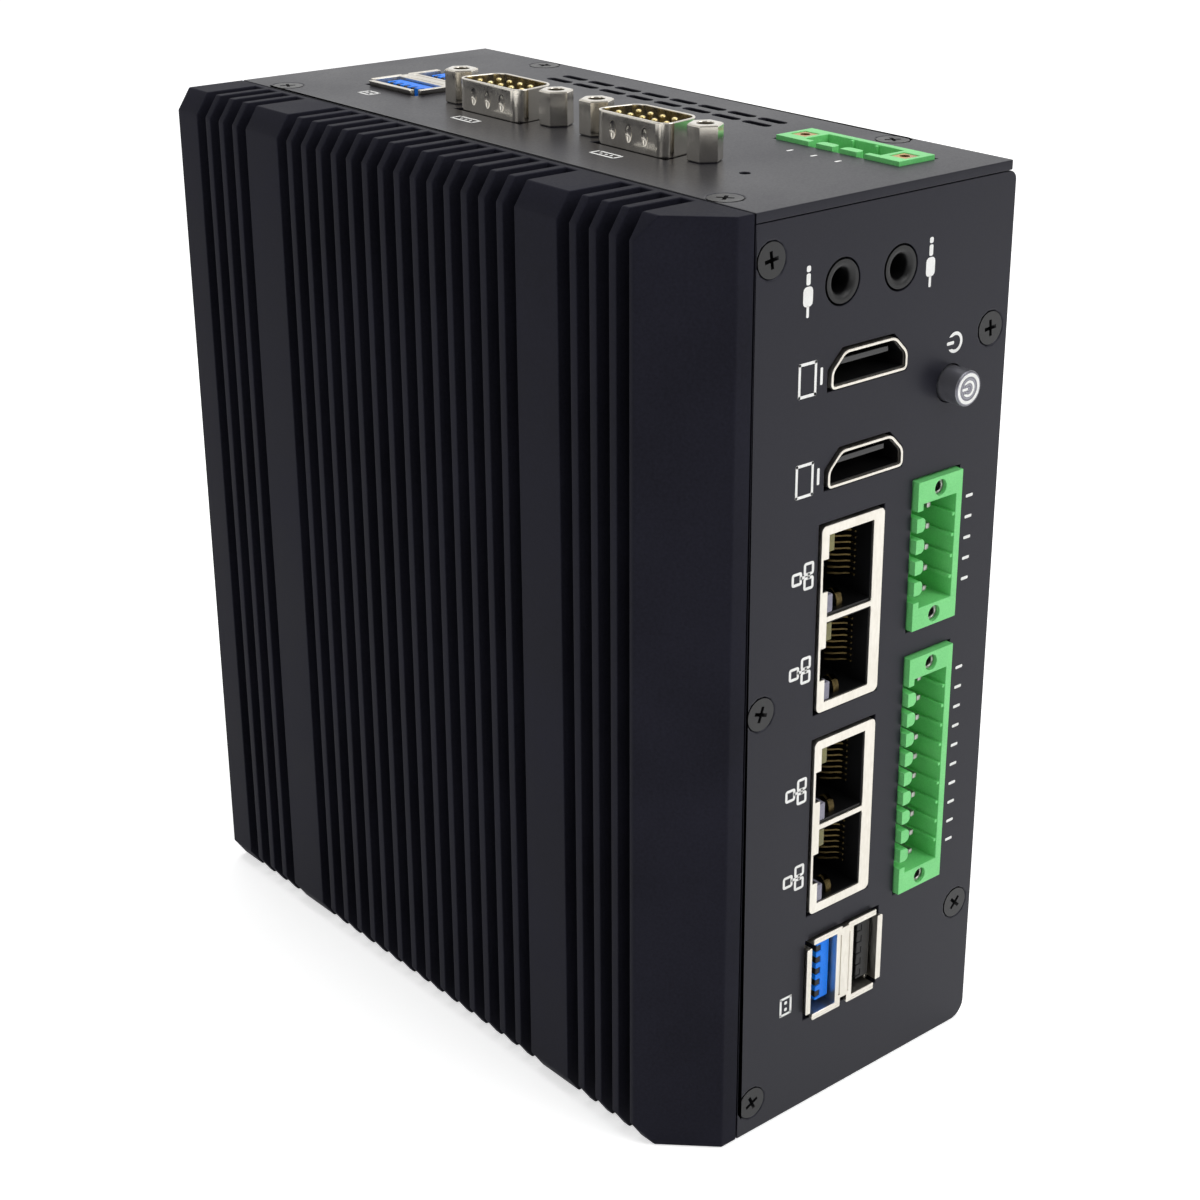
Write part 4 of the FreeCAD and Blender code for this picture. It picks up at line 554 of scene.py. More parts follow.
def modify(piece: Piece, kind: str, **settings: object) -> None:
    """Add a modifier to a piece and apply it.

    Args:
        piece: The piece.
        kind: The modifier's type name.
        settings: Properties of the modifier.
    """
    activate(piece)
    bpy.ops.object.modifier_add(type=kind)
    step = piece.modifiers[-1]
    for name, value in settings.items():
        setattr(step, name, value)
    bpy.ops.object.modifier_apply(modifier=step.name)


def carve(piece: Piece, cutters: Sequence[Piece]) -> None:
    """Take cutting shapes out of a piece, and remove them.

    Args:
        piece: The piece that is cut.
        cutters: Closed shapes.
    """
    for cutter in cutters:
        modify(piece, "BOOLEAN", operation="DIFFERENCE", solver="EXACT", object=cutter)
        bpy.data.objects.remove(cutter)


def soften(piece: Piece, width: float, segments: int = 2, angle: float = 40.0) -> None:
    """Break every sharp edge of a piece, as paint, plating or a mould does.

    Args:
        piece: The piece.
        width: Width of the bevel.
        segments: Steps in the bevel.
        angle: Least angle of an edge that is broken, in degrees.
    """
    modify(piece, "BEVEL", width=width, segments=segments, limit_method="ANGLE",
           angle_limit=math.radians(angle), use_clamp_overlap=False)


def join(pieces: Sequence[Piece], name: str) -> Piece:
    """Join pieces into one object.

    Args:
        pieces: One or more pieces.
        name: Name of the result.

    Returns:
        The joined piece.
    """
    activate(pieces[0])
    for piece in pieces:
        piece.select_set(True)
    bpy.ops.object.join()
    joined = bpy.context.active_object
    joined.name = name
    return joined


def copies(master: Piece, name: str, places: Sequence[Matrix]) -> Piece:
    """Copy a piece to several places, each copy with its own mesh, as one object.

    Args:
        master: The piece that was modelled once; it is used up.
        name: Name of the result.
        places: Where the copies go.

    Returns:
        All the copies.
    """
    made = []
    for place in places:
        activate(master)
        bpy.ops.object.duplicate(linked=False)
        twin = bpy.context.active_object
        twin.matrix_world = place
        bpy.ops.object.transform_apply(location=True, rotation=True, scale=True)
        made.append(twin)
    bpy.data.objects.remove(master)
    return join(made, name)


def settle(piece: Piece, finish: Finish, body: str = "case", nodes: Sequence[str] = ()) -> Piece:
    """Finish a piece: metres, smooth shading, material, and its place in the frame.

    Args:
        piece: The piece, in millimetres.
        finish: Its material.
        body: The CAD body that it moves with.
        nodes: CAD nodes that it stands for.

    Returns:
        The piece.
    """
    activate(piece)
    piece.scale = (MM, MM, MM)
    bpy.ops.object.transform_apply(location=True, rotation=True, scale=True)
    bpy.ops.object.shade_smooth_by_angle(angle=math.radians(SMOOTH))
    modify(piece, "WEIGHTED_NORMAL", keep_sharp=True)
    piece.data.materials.clear()
    piece.data.materials.append(finish.material())
    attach(piece, body)
    if nodes:
        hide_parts(*nodes)
    LOG.info("%s: %d faces, %s", piece.name, len(piece.data.polygons), finish.name)
    return piece


def skin(node: str, finish: Finish, width: float, body: str = "case") -> None:
    """Stand a softened copy in for a CAD node.

    Args:
        node: The CAD node.
        finish: Its material.
        width: Width of the broken edges.
        body: The CAD body that it moves with.
    """
    piece = cad_copy(node, node + "_skin")
    soften(piece, width)
    settle(piece, finish, body, [node])


def thicken(mark: Piece) -> Piece:
    """Give a flat mark that looks up the thickness of printed ink, above the surface."""
    modify(mark, "SOLIDIFY", thickness=INK, offset=1.0)
    return mark


def ring_mark(radius: float, width: float, sides: int = 40, at: Range = (0.0, 0.0)) -> Piece:
    """Draw a ring of ink.

    Args:
        radius: Outer radius.
        width: Width of the line.
        sides: Sides of the ring; four make a square with rounded corners.
        at: Its middle.

    Returns:
        The mark.
    """
    square = sides == 4
    turn = math.pi / 4 if square else 0.0
    mark = primitive("ring_mark", bpy.ops.mesh.primitive_circle_add, vertices=sides, radius=radius,
                     fill_type="NGON", location=(*at, 0.0), rotation=(0.0, 0.0, turn))
    rounding = radius * 0.3
    with open_mesh(mark):
        bpy.ops.mesh.select_all(action="SELECT")
        if square:
            bpy.ops.mesh.bevel(offset=rounding, segments=3, affect="VERTICES")
            bpy.ops.mesh.select_all(action="SELECT")
        bpy.ops.mesh.inset(thickness=width)
        bpy.ops.mesh.delete(type="FACE")
    return thicken(mark)


def bar_mark(wide: float, high: float, x: float = 0.0, y: float = 0.0) -> Piece:
    """Draw a bar of ink with rounded corners.

    Args:
        wide: Size across.
        high: Size along.
        x: Its middle across.
        y: Its middle along.

    Returns:
        The mark.
    """
    mark = primitive("bar_mark", bpy.ops.mesh.primitive_plane_add, (wide, high, 1.0), size=1.0,
                     location=(x, y, 0.0))
    rounding = min(wide, high) * 0.35
    with open_mesh(mark):
        bpy.ops.mesh.select_all(action="SELECT")
        bpy.ops.mesh.bevel(offset=rounding, segments=3, affect="VERTICES")
    return thicken(mark)


def power_sign(radius: float, width: float) -> list[Piece]:
    """Draw the common power sign: an open ring, and a bar in its gap.

    Args:
        radius: Outer radius of the ring.
        width: Width of the line.

    Returns:
        The marks.
    """
    ring = ring_mark(radius, width)
    half_opening = math.radians(35)
    half_gap = math.sin(half_opening) * radius
    gap_foot = radius * 0.35
    bar_high = radius * 0.95
    bar_middle = radius * 0.62
    carve(ring, [block("ring_gap", (-half_gap, gap_foot, -OVER), (half_gap, radius + OVER, OVER))])
    return [ring, bar_mark(width, bar_high, 0.0, bar_middle)]


@dataclass
class Case:
    """Heatsink, front and top panels, and the folded cover."""

    edge: float = 0.22
    sheet_edge: float = 0.16
    window_gap: float = 1.0

    def build(self) -> None:
        """Model and coat the four pieces of the case."""
        skin("heatsink", HEATSINK_COAT, self.edge)
        for node in ("front_panel", "side_cover"):
            skin(node, PANEL_COAT, self.sheet_edge)
        self.lid()

    def lid(self) -> None:
        """Model the lid, with its window for the power header brought up to the header's keyed side."""
        low, high = corners("power_header")
        lid = cad_copy("top_panel", "top_panel_skin")
        with open_mesh(lid):
            choose(lid, lambda place, way: way.x > STRAIGHT and abs(place.x - low.x) < self.window_gap
                   and low.y < place.y < high.y)
            bpy.ops.transform.translate(value=(POWER_SETBACK, 0.0, 0.0))
        soften(lid, self.sheet_edge)
        settle(lid, PANEL_COAT, "case", ["top_panel"])


@dataclass
class Screws:
    """Countersunk screws with a cross recess, each left at its own angle."""

    head: float = 2.68
    shank: float = 1.15
    deep: float = 1.53
    length: float = 6.0
    rim: float = 0.12
    wing: float = 1.5
    wing_width: float = 0.66
    wing_taper: float = 0.5
    wing_over: float = 0.4
    recess: float = 1.15
    half_height: float = 75.0
    twists: tuple[float, ...] = (24, 71, 8, 52, 37, 15, 63, 80, 31, 47, 5, 58, 20)

    def build(self) -> None:
        """Copy the screw to every screw of the frame and blacken it."""
        for node in ("panel_screws", "rail_screws"):
            places = [facing.place(at, self.twists[i % len(self.twists)])
                      for i, (facing, at) in enumerate(self.seats(node))]
            settle(copies(self.model(), node + "_crossed", places), BLACK_OXIDE, "case", [node])

    def model(self) -> Piece:
        """Model one screw that looks up from the origin.

        Returns:
            The screw.
        """
        screw = round_bar("screw_master", self.head, -self.deep, 0.0)
        small = self.shank / self.head
        with open_mesh(screw):
            choose(screw, lambda place, way: way.z < -STRAIGHT)
            bpy.ops.transform.resize(value=(small, small, 1.0), center_override=(0.0, 0.0, -self.deep))
            extrude(0.0, 0.0, self.deep - self.length)
            bevel_edges(screw, lambda place, run: place.z > -CLOSE and abs(run.z) < LEVEL,
                        self.rim, segments=2)
        carve(screw, [self.cross()])
        return screw

    def cross(self) -> Piece:
        """Model the driver's cross that is cut into a head, with wings that narrow downwards.

        Returns:
            The cutting shape.
        """
        half = self.wing_width / 2
        reach = self.wing - half
        cutter = block("cross_cutter", (-half, -half, -self.recess), (half, half, self.wing_over))
        with open_mesh(cutter):
            for way in (Vector((1, 0, 0)), Vector((-1, 0, 0)), Vector((0, 1, 0)), Vector((0, -1, 0))):
                choose(cutter, lambda place, normal, way=way: normal.dot(way) > STRAIGHT
                       and (place - way * half).xy.length < CLOSE)
                extrude(*(way * reach))
            choose(cutter, lambda place, normal: normal.z < -STRAIGHT)
            bpy.ops.transform.resize(value=(self.wing_taper, self.wing_taper, 1.0),
                                     center_override=(0.0, 0.0, -self.recess))
        return cutter

    def seats(self, node: str) -> list[tuple[Facing, Vector]]:
        """Find the heads of a node's screws: the side that each looks out of and its middle.

        Args:
            node: The CAD node that holds the screws.

        Returns:
            The seats, sorted by place.
        """
        found = []
        for low, high in islands(node):
            size = high - low
            at = (low + high) / 2
            if size.y > size.z:
                facing = Facing.FRONT if low.y < 0 else Facing.REAR
                at.y = low.y if facing is Facing.FRONT else high.y
            else:
                facing = Facing.TOP if high.z > self.half_height else Facing.FOOT
                at.z = high.z if facing is Facing.TOP else low.z
            found.append((facing, at))
        return found


@dataclass
class AudioJacks:
    """Two round jacks with a flared mouth in each nose."""

    bore: float = 1.85
    flare: float = 0.95
    axes: tuple[Range, ...] = ((-3.1, 137.6), (8.9, 137.6))

    def build(self) -> None:
        """Flare the mouths."""
        low, _ = corners("audio_jacks")
        jacks = cad_copy("audio_jacks", "audio_jacks_flared")
        with open_mesh(jacks):
            bevel_edges(jacks, lambda place, run: place.y < low.y + CLOSE and any(
                (place.xz - Vector(axis)).length < self.bore for axis in self.axes), self.flare, segments=4)
        settle(jacks, BLACK_PLASTIC, "case", ["audio_jacks"])


@dataclass
class PushButton:
    """Turned button with a printed ring and power sign on its face."""

    rim: float = 0.3
    ring: Range = (2.4, 0.5)  # outer radius and width of the line
    sign: Range = (1.3, 0.42)  # outer radius and width of the line

    def build(self) -> None:
        """Round the cap's rim and print the ring and the sign."""
        low, high = corners("power_button")
        cap = cad_copy("power_button", "power_button_turned")
        soften(cap, self.rim, segments=3)
        settle(cap, TURNED_STEEL, "button", ["power_button"])
        middle = (low + high) / 2
        at = Facing.FRONT.place((middle.x, low.y, middle.z), SIDEWAYS)
        marks = [ring_mark(*self.ring), *power_sign(*self.sign)]
        settle(copies(join(marks, "button_sign_master"), "button_sign", [at]), WHITE_INK, "button")


@dataclass
class NetworkJacks:
    """Two pairs of network jacks: plated shields, black inserts, sprung wires and light windows."""

    edge: float = 0.12
    window_edge: float = 0.15
    corner: float = 0.9
    sheet: float = 0.41
    divider: Range = (0.45, 0.9)  # half of the bar that stays, and past half of the solid's bar
    border: Range = (1.6, 2.2)  # left and right of the ports
    wire: float = 0.36
    wire_foot: Range = (0.3, 0.9)  # thickness and depth at the wall
    wire_bends: tuple[Range, ...] = ((-0.4, 0.5), (-1.35, 0.9), (-0.81, 0.9), (0.9, 0.5))
    wire_tail: Range = (1.6, 3.7)  # last step across, and the depth that is taken up before it
    wire_edge: float = 0.06
    tab: Triple = (1.2, 0.3, 0.9)  # width, thickness and height before the bends
    tab_foot: float = 0.2
    tab_bends: tuple[Triple, ...] = ((0.0, 0.35, 0.9), (0.0, 0.9, 0.6), (0.0, 1.0, -0.5))
    tab_knee: float = 1.7
    tab_edge: float = 0.08
    tab_x: float = -0.3
    tab_in: float = 1.0

    def build(self) -> None:
        """Model the shields, inserts, windows, contact wires and shield springs."""
        for tag in ("low", "high"):
            self.shield(f"lan_shield_{tag}")
            skin(f"lan_insert_{tag}", BLACK_PLASTIC, self.edge)
        skin("lan_lights_upper", OLIVE_WINDOW, self.window_edge)
        skin("lan_lights_lower", LAVENDER_WINDOW, self.window_edge)
        wires = islands("lan_contacts")
        places = [shift(high.x, low.y, (low.z + high.z) / 2) for low, high in wires]
        low, high = wires[0]
        settle(copies(self.contact(high.y - low.y), "lan_contact_wires", places), SPRING_WIRE_IN_SHADE, "case",
               ["lan_contacts"])
        feet = [shift(self.tab_x, low.y + self.tab_in, low.z) for low, _ in islands("lan_lights_lower")]
        settle(copies(self.spring(), "lan_shield_springs", feet), SPRING_WIRE_IN_SHADE)

    def shield(self, node: str) -> None:
        """Slim the bar between a shield's ports, round its outer corners and break its edges.

        Args:
            node: The CAD node.
        """
        low, high = corners(node)
        shield = cad_copy(node, node + "_folded")
        middle = (low.z + high.z) / 2
        keep, reach = self.divider
        carve(shield, [block("divider_trim", (low.x + self.border[0], low.y - OVER, middle + a),
                             (high.x - self.border[1], low.y + self.sheet, middle + b))
                       for a, b in ((keep, reach), (-reach, -keep))])
        with open_mesh(shield):
            bevel_edges(shield, lambda place, run: abs(run.y) > STRAIGHT
                        and min(place.x - low.x, high.x - place.x) < CLOSE
                        and min(place.z - low.z, high.z - place.z) < CLOSE, self.corner, segments=4)
        soften(shield, self.edge)
        settle(shield, NICKEL, "case", [node])

    def contact(self, run: float) -> Piece:
        """Model one wire: up from the wall at its mouth, then sloping back to the rear.

        Args:
            run: How far the wire reaches back.

        Returns:
            The wire, from its own front end at the wall.
        """
        half = self.wire / 2
        thick, deep = self.wire_foot
        leaning = 0.3
        wire = block("wire_master", (-thick, 0.0, -half), (0.0, deep, half))
        with open_mesh(wire):
            for x, y in (*self.wire_bends, (self.wire_tail[0], run - self.wire_tail[1])):
                choose(wire, lambda place, way: way.y > leaning)
                extrude(x, y, 0.0)
        soften(wire, self.wire_edge, segments=1, angle=60.0)
        with open_mesh(wire):
            bpy.ops.mesh.select_all(action="SELECT")
            bpy.ops.mesh.dissolve_degenerate(threshold=CLOSE)
        return wire

    def spring(self) -> Piece:
        """Model the bent tab that stands at the foot of a port.

        Returns:
            The tab, from the port's lower wall.
        """
        wide, thick, high = self.tab
        leaning = 0.4
        tab = block("spring_master", (-wide / 2, 0.0, -self.tab_foot), (wide / 2, thick, high))
        with open_mesh(tab):
            for step in self.tab_bends:
                choose(tab, lambda place, way: way.z > leaning
                       or (way.y > leaning and place.z > self.tab_knee))
                extrude(*step)
        soften(tab, self.tab_edge, angle=50.0)
        return tab


@dataclass
class VideoSockets:
    """Two upright video sockets: folded shells, glossy black cores and gold strips under the tongues."""

    edge: float = 0.12
    shell_edge: float = 0.1
    cut: float = 2.436  # of an upper corner, inside the shell
    corner: float = 0.8
    foot: Range = (6.5, 10.7)  # behind the mouth
    foot_high: float = 2.26
    # A thin black sleeve inside each shell, as painted shade: its wall, the rounding at its folds and its
    # depth behind the mouth.
    shade_sleeve: float = 0.16
    shade_sleeve_corner: float = 0.48
    shade_sleeve_deep: Range = (0.5, 7.0)  # behind the mouth
    tongue: float = 2.9  # height of the strips in the shell
    tip: float = 1.1  # from the front of the core to the strips
    pitch: float = 1.1
    count: int = 9
    strip: Triple = (0.36, 0.5, 0.12)  # width, length of the nose and thickness
    strip_bends: tuple[Triple, ...] = ((0.0, 1.0, -0.22), (0.0, 5.0, 0.0))

    def build(self) -> None:
        """Model the shells, cores, black sleeves as painted shade inside the shells, and contact strips."""
        for tag in ("low", "high"):
            self.shell(tag)
            skin(f"video_core_{tag}", GLOSS_BLACK, self.edge)
            self.shade_liner(tag)
            low, high = corners(f"video_core_{tag}")
            shell_low, _ = corners(f"video_shell_{tag}")
            middle = (low.x + high.x) / 2
            places = [shift(middle + (i - (self.count - 1) / 2) * self.pitch, low.y + self.tip,
                            shell_low.z + self.tongue) for i in range(self.count)]
            settle(copies(self.contact(), f"video_contacts_{tag}", places), GOLD)

    def shell(self, tag: str) -> None:
        """Fold a shell round its core, with rounded corners and a foot on the board.

        Args:
            tag: Which socket.
        """
        node = f"video_shell_{tag}"
        low, high = corners(node)
        core_low, core_high = corners(f"video_core_{tag}")
        wall = high.x - core_high.x
        start = Vector((core_low.x - wall, low.y, low.z))
        cut = self.cut + wall * (2 - math.sqrt(2))
        tube = self.tube(node + "_tube", start, high, cut, wall, self.corner)
        foot = block(node + "_foot", (low.x, low.y + self.foot[0], low.z),
                     (start.x + wall / 2, low.y + self.foot[1], low.z + self.foot_high))
        shell = join([tube, foot], node + "_folded")
        soften(shell, self.shell_edge)
        settle(shell, NICKEL, "case", [node])

    def shade_liner(self, tag: str) -> None:
        """Model a thin black sleeve inside a shell, as painted shade of the shell's inside.

        Args:
            tag: Which socket.
        """
        low, high = corners(f"video_core_{tag}")
        mouth, _ = corners(f"video_shell_{tag}")
        near, far = self.shade_sleeve_deep
        start = Vector((low.x, mouth.y + near, low.z))
        end = Vector((high.x, mouth.y + far, high.z))
        shade_sleeve = self.tube(f"video_shade_sleeve_{tag}", start, end, self.cut, self.shade_sleeve, self.shade_sleeve_corner)
        # The sleeve's black plastic is painted shade inside the shell.
        settle(shade_sleeve, BLACK_PLASTIC)

    def tube(self, name: str, low: Vector, high: Vector, cut: float, wall: float, corner: float) -> Piece:
        """Model an open tube along the depth whose two upper corners are cut.

        Args:
            name: The piece's name.
            low: Lowest corner.
            high: Highest corner.
            cut: How much of an upper corner is cut.
            wall: Thickness of its sheet, inwards.
            corner: Width of the rounding at its folds.

        Returns:
            The tube.
        """
        tube = block(name, low, high)
        with open_mesh(tube):
            for x, way in ((low.x + cut, -1.0), (high.x - cut, 1.0)):
                bpy.ops.mesh.select_all(action="SELECT")
                bpy.ops.mesh.bisect(plane_co=(x, low.y, high.z), plane_no=(way, 0.0, 1.0), use_fill=True,
                                    clear_outer=True)
            choose(tube, lambda place, normal: abs(normal.y) > STRAIGHT)
            bpy.ops.mesh.delete(type="FACE")
            bevel_edges(tube, lambda place, run: abs(run.y) > STRAIGHT, corner, segments=4)
        modify(tube, "SOLIDIFY", thickness=wall, offset=-1.0, use_even_offset=True)
        return tube

    def contact(self) -> Piece:
        """Model one strip that hangs under the tongue, with a nose bent up at its tip.

        Returns:
            The strip, from its tip.
        """
        wide, nose, thick = self.strip
        strip = block("strip_master", (-wide / 2, 0.0, -thick), (wide / 2, nose, 0.0))
        with open_mesh(strip):
            for step in self.strip_bends:
                choose(strip, lambda place, way: way.y > STRAIGHT)
                extrude(*step)
        return strip


@dataclass
class BusStacks:
    """Stacked bus sockets: plated shells with flared lips and open corners, and slotted tongues."""

    edge: float = 0.07
    corner: float = 2.0
    corner_deep: float = 2.4
    waist: float = 0.7  # width of the opening in the middle, in corners
    groove: Range = (0.14, 0.25)  # half its width, and its depth
    groove_x: float = 1.0
    groove_ends: Range = (1.6, 1.2)  # from the ends of the shell
    flare: float = 0.55
    lip: float = 0.6
    lip_deep: Range = (-0.05, 1.3)  # behind the mouth
    lip_edge: float = 0.2
    notches: int = 5
    notch: Triple = (1.15, 1.1, 6.0)  # width, height and run
    # Black blocks in the contact slots, as painted shade of the slots: where they sit, and their broken
    # edges.
    slot_shade_sink: Range = (0.1, 0.12)  # below the side of the tongue, and behind its tip
    slot_shade_edge: float = 0.08
    tongue_edge: float = 0.14
    broad: float = 1.0  # how much thicker a tongue is than its CAD node
    top_lift: float = 1.0  # how far the tongues on the lid come forward

    def build(self) -> None:
        """Model both sockets."""
        self.socket("bus_front", Facing.FRONT, {"a": BLUE_PLASTIC, "b": BLACK_PLASTIC})
        self.socket("bus_top", Facing.TOP, {"a": BLUE_PLASTIC, "b": BLUE_PLASTIC}, self.top_lift)

    def socket(self, name: str, facing: Facing, colours: dict[str, Finish], lift: float = 0.0) -> None:
        """Model one socket.

        Args:
            name: Start of its nodes' names.
            facing: The side that it looks out of.
            colours: Finish of each tongue.
            lift: How far the tongues come forward of their CAD nodes.
        """
        node = name + "_shell"
        low, high = corners(node)
        start = (0.0, 0.0, facing.mouth(low, high))
        first, last = low[facing.along], high[facing.along]
        middle = (low.x + high.x) / 2
        half = self.corner / 2
        slim = half * self.waist
        shell = cad_copy(node, node + "_lipped")
        cutters = []
        for x, end in ((low.x, first), (low.x, last), (high.x, first), (high.x, last), (middle, first)):
            wide = slim if x == middle else half
            cutters.append(block("corner_cutter", *facing.span(
                start, (x - wide, x + wide), (end - half, end + half), (-OVER, self.corner_deep))))
        groove_half, groove_deep = self.groove
        groove_run = (first + self.groove_ends[0], last - self.groove_ends[1])
        for x in (middle - self.groove_x, middle + self.groove_x):
            cutters.append(block("groove_cutter", *facing.span(
                start, (x - groove_half, x + groove_half), groove_run, (-OVER, groove_deep))))
        carve(shell, cutters)
        soften(shell, self.edge, segments=1)
        inner = (first + half, last - half)
        lips = [self.lip_strip(facing, start, (low.x, low.x + self.lip), inner, Vector((-1, 0, 0))),
                self.lip_strip(facing, start, (high.x - self.lip, high.x), inner, Vector((1, 0, 0)))]
        for side, out in (((first, first + self.lip), -1.0), ((last - self.lip, last), 1.0)):
            way = Vector()
            way[facing.along] = out
            for x in ((low.x + half, middle - slim), (middle + slim, high.x - half)):
                lips.append(self.lip_strip(facing, start, x, side, way))
        settle(join([shell, *lips], shell.name), NICKEL, "case", [node])
        for tag, finish in colours.items():
            self.tongue(f"{name}_tongue_{tag}", facing, finish, lift)

    def lip_strip(self, facing: Facing, start: Triple, x: Range, u: Range, out: Vector) -> Piece:
        """Model one lip that leans outwards at the mouth.

        Args:
            facing: The side that the socket looks out of.
            start: Where the ranges start.
            x: Range across the stack.
            u: Range along the tongues.
            out: The way that it leans.

        Returns:
            The lip.
        """
        strip = block("bus_lip", *facing.span(start, x, u, self.lip_deep))
        with open_mesh(strip):
            choose(strip, lambda place, way: (-way.y if facing is Facing.FRONT else way.z) > STRAIGHT)
            bpy.ops.transform.translate(value=out * self.flare)
        soften(strip, self.lip_edge, segments=3)
        return strip

    def tongue(self, node: str, facing: Facing, finish: Finish, lift: float) -> None:
        """Model a tongue with slots for its contacts on the side of the fins, and black blocks in them as
        painted shade of the slots.

        Args:
            node: The CAD node.
            facing: The side that the socket looks out of.
            finish: The tongue's plastic.
            lift: How far it comes forward.
        """
        low, high = corners(node)
        start = (0.0, 0.0, facing.mouth(low, high, lift))
        first, last = low[facing.along], high[facing.along]
        deep = (high - low)[facing.inward]
        tongue = block(node + "_slotted", *facing.span(
            start, (low.x, high.x + self.broad), (first, last), (0.0, deep + lift)))
        pitch = (last - first) / self.notches
        wide, rise, run = self.notch
        sink, back = self.slot_shade_sink
        cutters = []
        slot_shades = []
        for i in range(self.notches):
            mid = first + (i + 0.5) * pitch
            across = (mid - wide / 2, mid + wide / 2)
            cutters.append(block("notch_cutter", *facing.span(
                start, (low.x - OVER, low.x + rise), across, (-OVER, run))))
            # A black block nearly fills each slot, as painted shade of the slot.
            slot_shades.append(block("slot_shade", *facing.span(start, (low.x + sink, low.x + rise), across, (back, run))))
        carve(tongue, cutters)
        soften(tongue, self.tongue_edge)
        settle(tongue, finish, "case", [node])
        for slot_shade in slot_shades:
            soften(slot_shade, self.slot_shade_edge, segments=1)
        settle(join(slot_shades, node + "_painted_slot_shades"), BLACK_PLASTIC)


@dataclass
class Header:
    """One shrouded header: a moulded well with rounded fingers on its keyed side and ribs on the other."""

    node: str
    facing: Facing
    poles: int
    pitch: float
    end: float  # from its end to its first pole
    proud: float  # how far it stands out of the panel
    square: float = 0.0  # size of a square insert in the end blocks; none for a round bush
    end_block: float = 3.7
    gap: float = 1.15  # between two fingers
    near: float = 0.0  # how far its keyed side is set back
    wall: float = 1.3
    floor: float = 1.6
    key_deep: float = 5.0
    slack: float = 0.2
    edge: float = 0.1
    edge_angle: float = 50.0
    finger: float = 1.9
    turn: float = 0.85  # rounding of a finger towards the well
    rib: Triple = (0.5, 0.3, 0.15)  # height, half its width, and how far behind the mouth
    rib_root: float = 0.1
    rib_edge: float = 0.12
    hole: Range = (1.3, 7.0)  # radius and depth
    square_gap: float = 0.05
    square_deep: float = 6.1

    def box(self) -> tuple[Vector, Vector]:
        """Corners of the header, with its keyed side set back."""
        low, high = corners(self.node)
        return low + Vector((self.near, 0.0, 0.0)), high

    def span(self, x: Range, u: Range, v: Range) -> tuple[Vector, Vector]:
        """Corners of a box that is given in the header's own directions.

        Args:
            x: Range above the board.
            u: Range along the row.
            v: Range of depth behind the mouth.

        Returns:
            Lowest and highest corner.
        """
        low, high = self.box()
        return self.facing.span((low.x, low[self.facing.along], self.facing.mouth(low, high)), x, u, v)

    def build(self) -> None:
        """Cut the well, the keyed side and the end seats out of a block, and add the fingers and ribs."""
        low, high = self.box()
        size = high - low
        rise, length, deep = size.x, size[self.facing.along], size[self.facing.inward]
        shroud = block(self.node + "_moulded", low, high)
        poles = [self.end + i * self.pitch for i in range(self.poles)]
        side = self.gap / 2
        inner = rise - self.wall
        well_deep = deep - self.floor
        carve(shroud, [
            block("well", *self.span((self.wall, inner), (self.end_block, length - self.end_block),
                                     (-OVER, well_deep))),
            block("slot", *self.span((-OVER, self.wall + self.slack), (poles[0] - side, poles[-1] + side),
                                     (-OVER, self.key_deep + self.proud))),
            *self.seats(rise, length)])
        soften(shroud, self.edge, angle=self.edge_angle)
        lugs = [self.lug(u + side, u + self.pitch - side) for u in poles[:-1]]
        ribs = []
        rib_high, rib_half, rib_back = self.rib
        for u in poles[:-1]:
            mid = u + self.pitch / 2
            rib = block("rib", *self.span((inner - rib_high, inner + self.rib_root),
                                          (mid - rib_half, mid + rib_half), (rib_back, well_deep)))
            soften(rib, self.rib_edge)
            ribs.append(rib)
        settle(join([shroud, *lugs, *ribs], shroud.name), GREEN_PLASTIC, "case", [self.node])

    def seats(self, rise: float, length: float) -> list[Piece]:
        """Model what is cut out of the end blocks: round holes, or square seats where a size is given.

        Args:
            rise: Height of the header above its board.
            length: Length of the header.

        Returns:
            The cutting shapes.
        """
        cutters = []
        middle = rise / 2
        half = self.square / 2 + self.square_gap
        radius, deep = self.hole
        for u in (self.end_block / 2, length - self.end_block / 2):
            if self.square:
                cutters.append(block("seat", *self.span(
                    (middle - half, middle + half), (u - half, u + half), (-OVER, self.square_deep))))
            else:
                place, _ = self.span((middle, rise), (u, length), (0.0, deep))
                cutter = round_bar("bush_seat", radius, -deep, OVER, sides=32)
                cutters.append(copies(cutter, "bush_seat", [self.facing.place(place)]))
        return cutters

    def lug(self, start: float, end: float) -> Piece:
        """Model one finger of the keyed side, rounded towards the well.

        Args:
            start: Where it starts along the row.
            end: Where it ends.

        Returns:
            The finger.
        """
        deep = self.key_deep + self.proud + self.slack
        low, high = self.span((0.0, self.finger), (start, end), (0.0, deep))
        lug = block("lug", low, high)
        axis = self.facing.inward
        with open_mesh(lug):
            bevel_edges(lug, lambda place, run: abs(run[axis]) > STRAIGHT and place.x > high.x - CLOSE,
                        self.turn, segments=5)
        soften(lug, self.edge, angle=self.edge_angle)
        return lug


